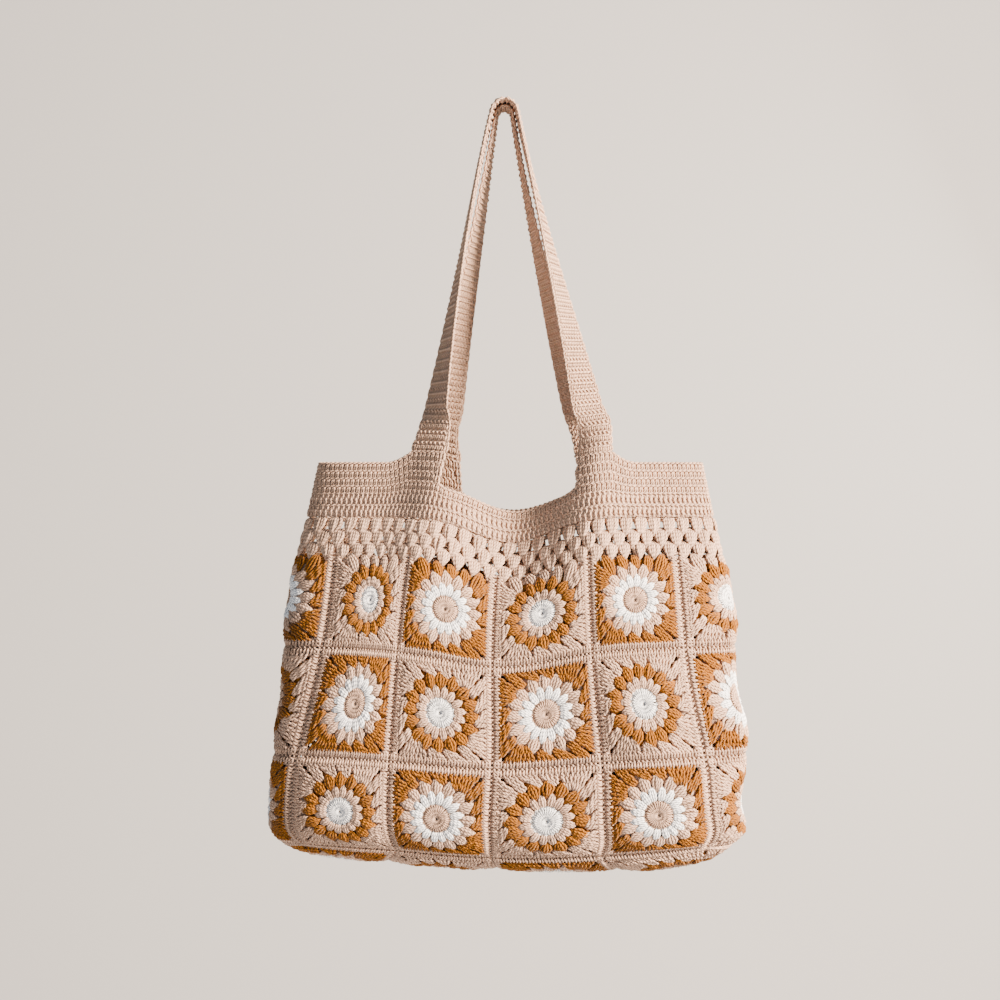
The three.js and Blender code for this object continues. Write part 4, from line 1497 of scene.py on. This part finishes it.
class StrapPatch(Patch):
    """The cloth of one strap: x across it, y along it from the left foot to the right one, h outwards."""

    LEG_STEPS = 130
    ARCH_STEPS = 30
    HELD_SHARE = 3 / 13  # share of a leg over which it lets go of the band's curve
    BELOW = 2.0  # how far below the foot the cloth's way up is measured

    def __init__(self, shape: BagShape, strap: Strap, foot_half: float) -> None:
        """Tabulate the strap's stations.

        Args:
            shape: The hanging cloth.
            strap: The strap's sizes.
            foot_half: Half of a foot, in squares round the bag.
        """
        self.shape = shape
        self.foot_half = foot_half
        radius = HOOK_RADIUS + STRAP_WALL / 2 + strap.layer * (STRAP_WALL + STRAP_LAYER_GAP)
        deep = strap.deep * STRAP_WIDTH
        left, lean_left = self._leg(strap.left, -1, radius, deep)
        right, lean_right = self._leg(strap.right, 1, radius, deep)
        angle = np.linspace(math.pi - lean_left, lean_right, self.ARCH_STEPS + 1)
        out = np.stack([np.cos(angle), np.zeros_like(angle), np.sin(angle)], -1)
        point = np.array([0, deep, -HOOK_RADIUS]) + out * radius
        across = np.broadcast_to(np.array([0.0, 1.0, 0.0]), out.shape)
        zero = np.zeros(len(angle))
        arch = {"point": point, "out": out, "across": across}
        arch |= {"share": zero + 1, "foot": zero + strap.left.foot, "sign": zero + 1}
        right = {name: values[::-1].copy() for name, values in right.items()}
        right["across"] = -right["across"]
        right["sign"] = -right["sign"]
        parts = (left, arch, right)
        self.table = {name: np.concatenate([part[name] for part in parts]) for name in left}
        stations = np.arange(len(self.table["share"]), dtype=float)
        self.along = stations
        middle, _ = self.place(np.zeros_like(stations), stations, np.zeros_like(stations))
        steps = np.linalg.norm(np.diff(middle, axis=0), axis=1)
        self.along = np.concatenate([[0], np.cumsum(steps)])
        self.length = float(self.along[-1])

    def _leg(self, leg: Leg, side: int, radius: float, deep: float) -> tuple[dict[str, Array], float]:
        """The stations of one leg, from the band to the peak.

        Args:
            leg: The leg's sizes.
            side: -1 for the viewer's left leg and 1 for the right.
            radius: Distance of the strap's middle line from the middle of its arch.
            deep: How far the strap lies towards the back at its peak.

        Returns:
            Tables by station, and how far the leg leans from straight down.
        """
        level = SIDE_RIM + SHOULDER_RISE
        at = np.array(leg.foot)
        point, outward = self.shape.on_wall(at, np.array(level), np.array(-STRAP_WALL / 2))
        above, _ = self.shape.on_wall(at, np.array(level), np.array(0.0))
        below, _ = self.shape.on_wall(at, np.array(level - self.BELOW), np.array(0.0))
        up = unit(above - below)
        lean = math.atan2(abs(point[0]), -point[2])
        end = np.array([side * math.cos(lean) * radius, deep, math.sin(lean) * radius - HOOK_RADIUS])
        end_way = np.array([-side * math.sin(lean), 0, math.cos(lean)])
        length = float(np.linalg.norm(end - point))
        bow = np.array([side * leg.bow * STRAP_DROP, 0, 0])
        p1 = point + up * length * STRAP_FOOT_BEND + bow
        p2 = end - end_way * length * STRAP_TOP_BEND + bow
        t = (np.arange(self.LEG_STEPS) / self.LEG_STEPS)[:, None]
        curve = (1 - t) ** 3 * point + 3 * (1 - t) ** 2 * t * p1 + 3 * (1 - t) * t**2 * p2 + t**3 * end
        way = unit(3 * (1 - t) ** 2 * (p1 - point) + 6 * (1 - t) * t * (p2 - p1) + 3 * t**2 * (end - p2))
        sideways = np.array([side, 0.0, 0.0])

        def squared(direction: Array, ways: Array) -> Array:
            """The part of a direction that is square to the way the strap runs."""
            return unit(direction - ways * np.sum(direction * ways, axis=-1, keepdims=True))

        flat, facing = squared(sideways, way[0]), squared(outward, way[0])
        turn = math.atan2(float(np.dot(np.cross(flat, facing), way[0])), float(np.dot(flat, facing)))
        share = t[:, 0]
        angle = (turn * (1 - share) ** leg.twist)[:, None]
        flat = squared(sideways, way)
        out = flat * np.cos(angle) + np.cross(way, flat) * np.sin(angle)
        across = np.cross(out, way)
        growing = np.cross(up, outward)
        sign = np.sign(across @ growing)
        table = {"point": curve, "out": out, "across": across}
        table |= {"share": share, "foot": np.full(len(share), leg.foot), "sign": sign}
        return table, lean

    def place(self, x: Array, y: Array, h: Array) -> tuple[Array, Array]:
        """Move flat coordinates to the strap.

        Args:
            x: Distances across from the strap's middle.
            y: Distances along from its left foot.
            h: Distances out from its middle layer.

        Returns:
            Points and the directions that the cloth faces there.
        """
        index = np.interp(y, self.along, np.arange(len(self.along)))
        i0 = np.clip(np.floor(index).astype(int), 0, len(self.along) - 2)
        f = (index - i0)[..., None]
        take = {
            name: self.table[name][i0] * (1 - f) + self.table[name][i0 + 1] * f
            for name in ("point", "out", "across")
        }
        share = self.table["share"][i0] * (1 - f[..., 0]) + self.table["share"][i0 + 1] * f[..., 0]
        out, across = unit(take["out"]), unit(take["across"])
        free = take["point"] + across * x[..., None] + out * h[..., None]
        hold = np.clip(1 - share / self.HELD_SHARE, 0, 1)
        hold = (hold * hold * (3 - 2 * hold))[..., None]
        u = self.table["foot"][i0] + x * self.table["sign"][i0] * self.foot_half / (STRAP_WIDTH / 2)
        level = SIDE_RIM + SHOULDER_RISE + share * STRAP_DROP
        held, facing = self.shape.on_wall(u, level, h - STRAP_WALL / 2)
        points = held * hold + free * (1 - hold)
        normals = unit(facing * hold + out * (1 - hold))
        return points, normals


@dataclass
class StrapWork:
    """One strap: rows of short stitches on both faces, and a chain along each edge."""

    strap: Strap
    patch: StrapPatch
    material: list[bpy.types.Material]

    ROW_PITCH = 5.0
    STITCHES = 7
    STITCH_INSET = 1.6  # from each edge of the strap to its stitches
    EDGE_INSET = 1.25
    EDGE_LAPS = (0.08, 1.02)  # how far an edge loop starts before its foot and reaches past its head
    ROWS_A_LOOP = 2
    FLARE = 0.14
    FLARE_REACH = 9.0
    CORE_ROWS = 150
    CORE_COLUMNS = 4
    CORE_INSET = 1.2
    CORE_HALF = 0.5
    CORE_PITCH = 4.4  # width that the finish takes a line of the closed cloth to have
    SEED = 80
    FRONT_LEG = loop((0.5, 1.35, 0.6), (0.8, 1.1, 0.85), 0.07)
    BACK_BAR = loop((-0.3, -1.4, -0.3), (0.75, 1.25, 0.75), 0.07)
    EDGE = Cluster(
        strands=2,
        places=(0, 0.3, 0.7, 1),
        widths=(0.1, 0.95, 0.95, 0.1),
        heights=(-0.3, 0.25, 0.25, 0.3),
        radii=(0.75, 1.1, 1.1, 0.75),
        jitter=0.06,
    )

    def build(self) -> None:
        """Work the strap from its left foot to its right one."""
        piece = Piece(f"{self.strap.name}_stitches", Yarn.BEIGE, [self.strap.name])
        rng = np.random.default_rng(self.SEED + self.strap.layer)
        rows = int(round(self.patch.length / self.ROW_PITCH))
        pitch = self.patch.length / rows
        stitch = (STRAP_WIDTH - 2 * self.STITCH_INSET) / self.STITCHES
        x, y = np.meshgrid(
            (np.arange(self.STITCHES) - (self.STITCHES - 1) / 2) * stitch, np.arange(rows) * pitch
        )
        x, y = x.ravel(), y.ravel()
        x = x * self._flare(y)
        row = np.round(y / pitch).astype(int)
        for turned, side in ((0, 1.0), (1, -1.0)):
            shown = row % 2 == turned
            self._rows(Face(piece, self.patch, rng, side), x[shown], y[shown], stitch, pitch)
        length = pitch * self.ROWS_A_LOOP
        y = np.arange(rows // self.ROWS_A_LOOP + 1) * length
        before, past = self.EDGE_LAPS
        for hand in (-1, 1):
            x = hand * (STRAP_WIDTH / 2 - self.EDGE_INSET) * self._flare(y)
            head = np.minimum(y + past * length, self.patch.length)
            self.EDGE.work(Face(piece, self.patch, rng), pairs(x, y - before * length), pairs(x, head))
        self._core(piece)
        piece.build(self.material)

    def _rows(self, face: Face, x: Array, y: Array, stitch: float, pitch: float) -> None:
        """Short stitches worked from one side: a pair of legs on it, and a bar across the other.

        Args:
            face: The side that was towards the maker.
            x: Places of the stitches across the strap.
            y: Places of their feet along it.
            stitch: Width of a stitch.
            pitch: Height of a row.
        """
        strands = (
            (self.FRONT_LEG, (-0.12, 0.1), (-0.42, 0.98)),
            (self.FRONT_LEG, (0.12, 0.1), (0.42, 0.98)),
            (self.BACK_BAR, (-0.46, 0.3), (0.46, 0.7)),
        )
        for kind, foot, head in strands:
            start, end = (pairs(x + a * stitch, y + b * pitch) for a, b in (foot, head))
            kind.work(face, start, end)

    def _flare(self, y: Array) -> Array:
        """How much wider the strap is near its feet, as a share of its width."""
        nearest = np.minimum(y, self.patch.length - y)
        return 1 + self.FLARE * np.exp(-nearest / self.FLARE_REACH)

    def _core(self, piece: Piece) -> None:
        """The closed cloth between the two faces.

        Args:
            piece: The piece that takes the sheet.
        """
        y = np.linspace(0, self.patch.length, self.CORE_ROWS + 1)[:, None]
        shares = np.linspace(1, -1, self.CORE_COLUMNS + 1)[None, :]
        x, y = np.broadcast_arrays(shares * (STRAP_WIDTH / 2 - self.CORE_INSET) * self._flare(y), y)
        outer, inner = (
            self.patch.place(x, y, np.full(x.shape, h))[0] for h in (self.CORE_HALF, -self.CORE_HALF)
        )
        keep = np.ones((self.CORE_ROWS, self.CORE_COLUMNS), dtype=bool)
        piece.sheet_between(outer, inner, keep, False, np.stack([x / self.CORE_PITCH, y], -1))


def linear(hex_colour: str) -> tuple[float, float, float, float]:
    """Turn an sRGB hex value to linear colour.

    Args:
        hex_colour: A value such as "#AABBCC".

    Returns:
        Linear red, green and blue, and full opacity.
    """
    parts = [int(hex_colour[k : k + 2], 16) / 255 for k in (1, 3, 5)]
    red, green, blue = (p / 12.92 if p <= 0.04045 else ((p + 0.055) / 1.055) ** 2.4 for p in parts)
    return red, green, blue, 1.0


def put(
    tree: bpy.types.NodeTree, kind: str, settings: dict | None = None, links: dict | None = None
) -> bpy.types.Node:
    """Add a node with its settings and links.

    Args:
        tree: The tree that takes the node.
        kind: The node's type, without the words that every type starts with.
        settings: Properties by name, and values of inputs by name or number after "in:".
        links: Output sockets by the name or number of the input that they go to.

    Returns:
        The new node.
    """
    node = tree.nodes.new("ShaderNode" + kind)
    for name, value in (settings or {}).items():
        if name.startswith("in:"):
            key = name[3:]
            node.inputs[int(key) if key.isdigit() else key].default_value = value
        else:
            setattr(node, name, value)
    for name, socket in (links or {}).items():
        tree.links.new(socket, node.inputs[name])
    return node


def sums(
    tree: bpy.types.NodeTree, operation: str, *values: float | bpy.types.NodeSocket
) -> bpy.types.NodeSocket:
    """Add a maths node.

    Args:
        tree: The tree that takes the node.
        operation: What it does with its inputs.
        values: Numbers, or the sockets that feed its inputs.

    Returns:
        The socket with the result.
    """
    numbers = {f"in:{k}": value for k, value in enumerate(values) if isinstance(value, (int, float))}
    links = {k: value for k, value in enumerate(values) if not isinstance(value, (int, float))}
    return put(tree, "Math", {"operation": operation, **numbers}, links).outputs[0]


class Side(Enum):
    """Which kind of face a finish is for."""

    STRAND = "strand"
    WRONG_SIDE = "wrong_side"


@dataclass(frozen=True)
class PliedCotton:
    """Worsted cotton yarn, spun, plied and crocheted.

    To the eye it is matt, with a soft pale rim where fibre ends catch the light, diagonal lines where the
    plies wind round one another, bumped and with painted shade between the plies and painted light on their
    tops, and small differences of shade between stitches.
    """

    yarn: Yarn
    side: Side
    ply_pitch: float = 3.4  # length of one diagonal line: 1.7 mm on real yarn, drawn twice as coarse
    ply_depth: float = 0.6  # depth of the bump between two plies
    ply_strength: float = 0.8
    fibre: float = 0.5  # grain of the fibres, drawn five times as coarse as they are
    fibre_share: float = 0.25  # height of the fibres' grain, with the plies' as one
    patch_scale: float = 25.0  # slow changes of the dye, in a metre
    patch_range: tuple[float, float] = (0.9, 1.1)
    painted_groove_shade_range: tuple[float, float] = (0.5, 1.08)  # painted shade between two plies and painted light on top of one
    tone_range: float = 0.09  # differences of shade between stitches
    roughness: float = 0.88
    sheen: float = 0.12
    sheen_roughness: float = 0.45
    ior: float = 1.5
    specular: float = 0.25

    def make(self) -> bpy.types.Material:
        """Build the node tree.

        Returns:
            The material.
        """
        material = bpy.data.materials.new(f"crocheted_cotton_{self.yarn.name.lower()}_{self.side.value}")
        material.use_nodes = True
        tree = material.node_tree
        tree.nodes.clear()
        position = put(tree, "TexCoord").outputs["Object"]
        wander, grain = (
            put(tree, "TexNoise", {"in:Scale": scale, "in:Detail": 2.0}, {"Vector": position})
            for scale in (self.patch_scale, 1 / (self.fibre * METRES))
        )
        wander, grain = wander.outputs["Fac"], grain.outputs["Fac"]
        plies = self._plies(tree)
        relief = sums(tree, "MULTIPLY_ADD", grain, self.fibre_share, plies)
        depth = {"in:Strength": self.ply_strength, "in:Distance": self.ply_depth * METRES}
        bump = put(tree, "Bump", depth, {"Height": relief})
        tone = put(tree, "Attribute", {"attribute_name": "tone"}).outputs["Fac"]
        shade = sums(tree, "MULTIPLY_ADD", tone, self.tone_range, 1.0)
        # Besides the random tone and the dye's slow patches, this paints shade into the grooves between
        # plies and light onto their tops
        for socket, (low, high) in ((wander, self.patch_range), (plies, self.painted_groove_shade_range)):
            spread = put(tree, "MapRange", {"in:3": low, "in:4": high}, {0: socket})
            shade = sums(tree, "MULTIPLY", shade, spread.outputs[0])
        dye = {"operation": "SCALE", "in:0": linear(self.yarn.dye)[:3]}
        colour = put(tree, "VectorMath", dye, {"Scale": shade})
        shader = put(
            tree,
            "BsdfPrincipled",
            {
                "in:Roughness": self.roughness,
                "in:Sheen Weight": self.sheen,
                "in:Sheen Roughness": self.sheen_roughness,
                "in:IOR": self.ior,
                "in:Specular IOR Level": self.specular,
            },
            {"Base Color": colour.outputs[0], "Normal": bump.outputs[0]},
        )
        put(tree, "OutputMaterial", links={"Surface": shader.outputs[0]})
        return material

    def _plies(self, tree: bpy.types.NodeTree) -> bpy.types.NodeSocket:
        """The height of the plies, from 0 between two of them to 1 on top.

        Args:
            tree: The tree that takes the nodes.

        Returns:
            The socket with the height.
        """
        places = put(tree, "UVMap", {"uv_map": "yarn"})
        split = put(tree, "SeparateXYZ", links={"Vector": places.outputs[0]})
        along = sums(tree, "MULTIPLY", split.outputs["Y"], 1 / self.ply_pitch)
        winding = sums(tree, "MULTIPLY", split.outputs["X"], 2.0 if self.side is Side.STRAND else 1.0)
        radians = sums(tree, "MULTIPLY", sums(tree, "ADD", along, winding), math.pi)
        return sums(tree, "ABSOLUTE", sums(tree, "SINE", radians))


@dataclass(frozen=True)
class Light:
    """One soft square light that faces the bag. Its place and size are in metres and its power in watts."""

    name: str
    place: tuple[float, float, float]
    size: float
    power: float
    colour: str

    def build(self, target: tuple[float, float, float]) -> None:
        """Hang the light.

        Args:
            target: The place that it faces.
        """
        data = bpy.data.lights.new(self.name, "AREA")
        data.shape = "SQUARE"
        data.size = self.size
        data.energy = self.power
        data.color = linear(self.colour)[:3]
        light = bpy.data.objects.new(self.name, data)
        light.location = self.place
        aim = np.array(target) - np.array(self.place)
        yaw = math.atan2(-aim[0], aim[1])
        pitch = math.atan2(math.hypot(aim[0], aim[1]), -aim[2])
        light.rotation_euler = (pitch, 0, yaw)
        bpy.context.scene.collection.objects.link(light)


@dataclass(frozen=True)
class Studio:
    """Camera, lights, floor and backdrop, the camera's sizes in millimetres and the rest in metres."""

    camera_x: float = -4.0
    camera_z: float = -352.0
    distance: float = 1900.0
    field: float = 900.0  # width of what the camera sees at the bag
    sensor: float = 36.0
    floor: float = -2.6
    front: float = -4.0
    wall: float = 3.0
    half_width: float = 5.0
    top: float = 2.5
    bend: float = 0.8
    bend_steps: int = 8
    surround: float = 0.67

    TARGET = (0, 0, -0.45)
    SURROUND_COLOUR = "#D4DAE4"
    PLASTER_COLOUR = "#D2CFCA"
    PLASTER_ROUGHNESS = 0.9
    LIGHTS = (
        Light("key", (2.4, -1.1, 0.45), 0.9, 720, "#FFECDA"),
        Light("fill", (-0.6, -1.7, -1.9), 1.6, 13, "#C2D6F2"),
        Light("back", (1.9, 2.3, 0.4), 1.5, 70, "#F4F0EA"),
    )

    def build(self) -> None:
        """Set up everything that isn't the bag."""
        self._camera()
        self._lights()
        self._backdrop()

    def _camera(self) -> None:
        """A level camera straight in front of the bag."""
        data = bpy.data.cameras.new("camera")
        data.sensor_width = self.sensor
        data.sensor_fit = "HORIZONTAL"
        data.lens = self.sensor * self.distance / self.field
        camera = bpy.data.objects.new("camera", data)
        camera.location = (self.camera_x * METRES, -self.distance * METRES, self.camera_z * METRES)
        camera.rotation_euler = (math.pi / 2, 0, 0)
        bpy.context.scene.collection.objects.link(camera)
        bpy.context.scene.camera = camera

    def _lights(self) -> None:
        """A soft key from the right, weak fills from below and behind, and an even pale surround."""
        for light in self.LIGHTS:
            light.build(self.TARGET)
        world = bpy.data.worlds.new("studio")
        world.use_nodes = True
        back = world.node_tree.nodes["Background"]
        back.inputs["Color"].default_value = linear(self.SURROUND_COLOUR)
        back.inputs["Strength"].default_value = self.surround
        bpy.context.scene.world = world

    def _backdrop(self) -> None:
        """A sheet of pale painted plaster that is the floor and curves up into a wall far behind."""
        profile = [(self.front, self.floor), (self.wall - self.bend, self.floor)]
        for k in range(1, self.bend_steps + 1):
            angle = k / self.bend_steps * math.pi / 2
            y = self.wall - self.bend + self.bend * math.sin(angle)
            profile.append((y, self.floor + self.bend - self.bend * math.cos(angle)))
        profile.append((self.wall, self.top))
        points = [(x, y, z) for y, z in profile for x in (-self.half_width, self.half_width)]
        faces = [(2 * k, 2 * k + 1, 2 * k + 3, 2 * k + 2) for k in range(len(profile) - 1)]
        mesh = bpy.data.meshes.new("backdrop")
        mesh.from_pydata(points, [], faces)
        mesh.polygons.foreach_set("use_smooth", [True] * len(faces))
        backdrop = bpy.data.objects.new("backdrop", mesh)
        material = bpy.data.materials.new("painted_plaster")
        material.use_nodes = True
        shader = material.node_tree.nodes["Principled BSDF"]
        shader.inputs["Base Color"].default_value = linear(self.PLASTER_COLOUR)
        shader.inputs["Roughness"].default_value = self.PLASTER_ROUGHNESS
        mesh.materials.append(material)
        bpy.context.scene.collection.objects.link(backdrop)


def main() -> None:
    """Dress the frame and set up the studio."""
    logging.basicConfig(level=logging.INFO, stream=sys.stdout, format="%(message)s")
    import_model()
    Studio().build()
    finishes = {yarn: [PliedCotton(yarn, side).make() for side in Side] for yarn in Yarn}
    shape = BagShape()
    Panels(shape, finishes).build()
    Yoke(shape, finishes).build()
    band = MouthBand(shape, finishes)
    band.build()
    for strap in STRAPS:
        patch = StrapPatch(shape, strap, band.foot_half)
        StrapWork(strap, patch, finishes[Yarn.BEIGE]).build()


if __name__ == "__main__":
    main()
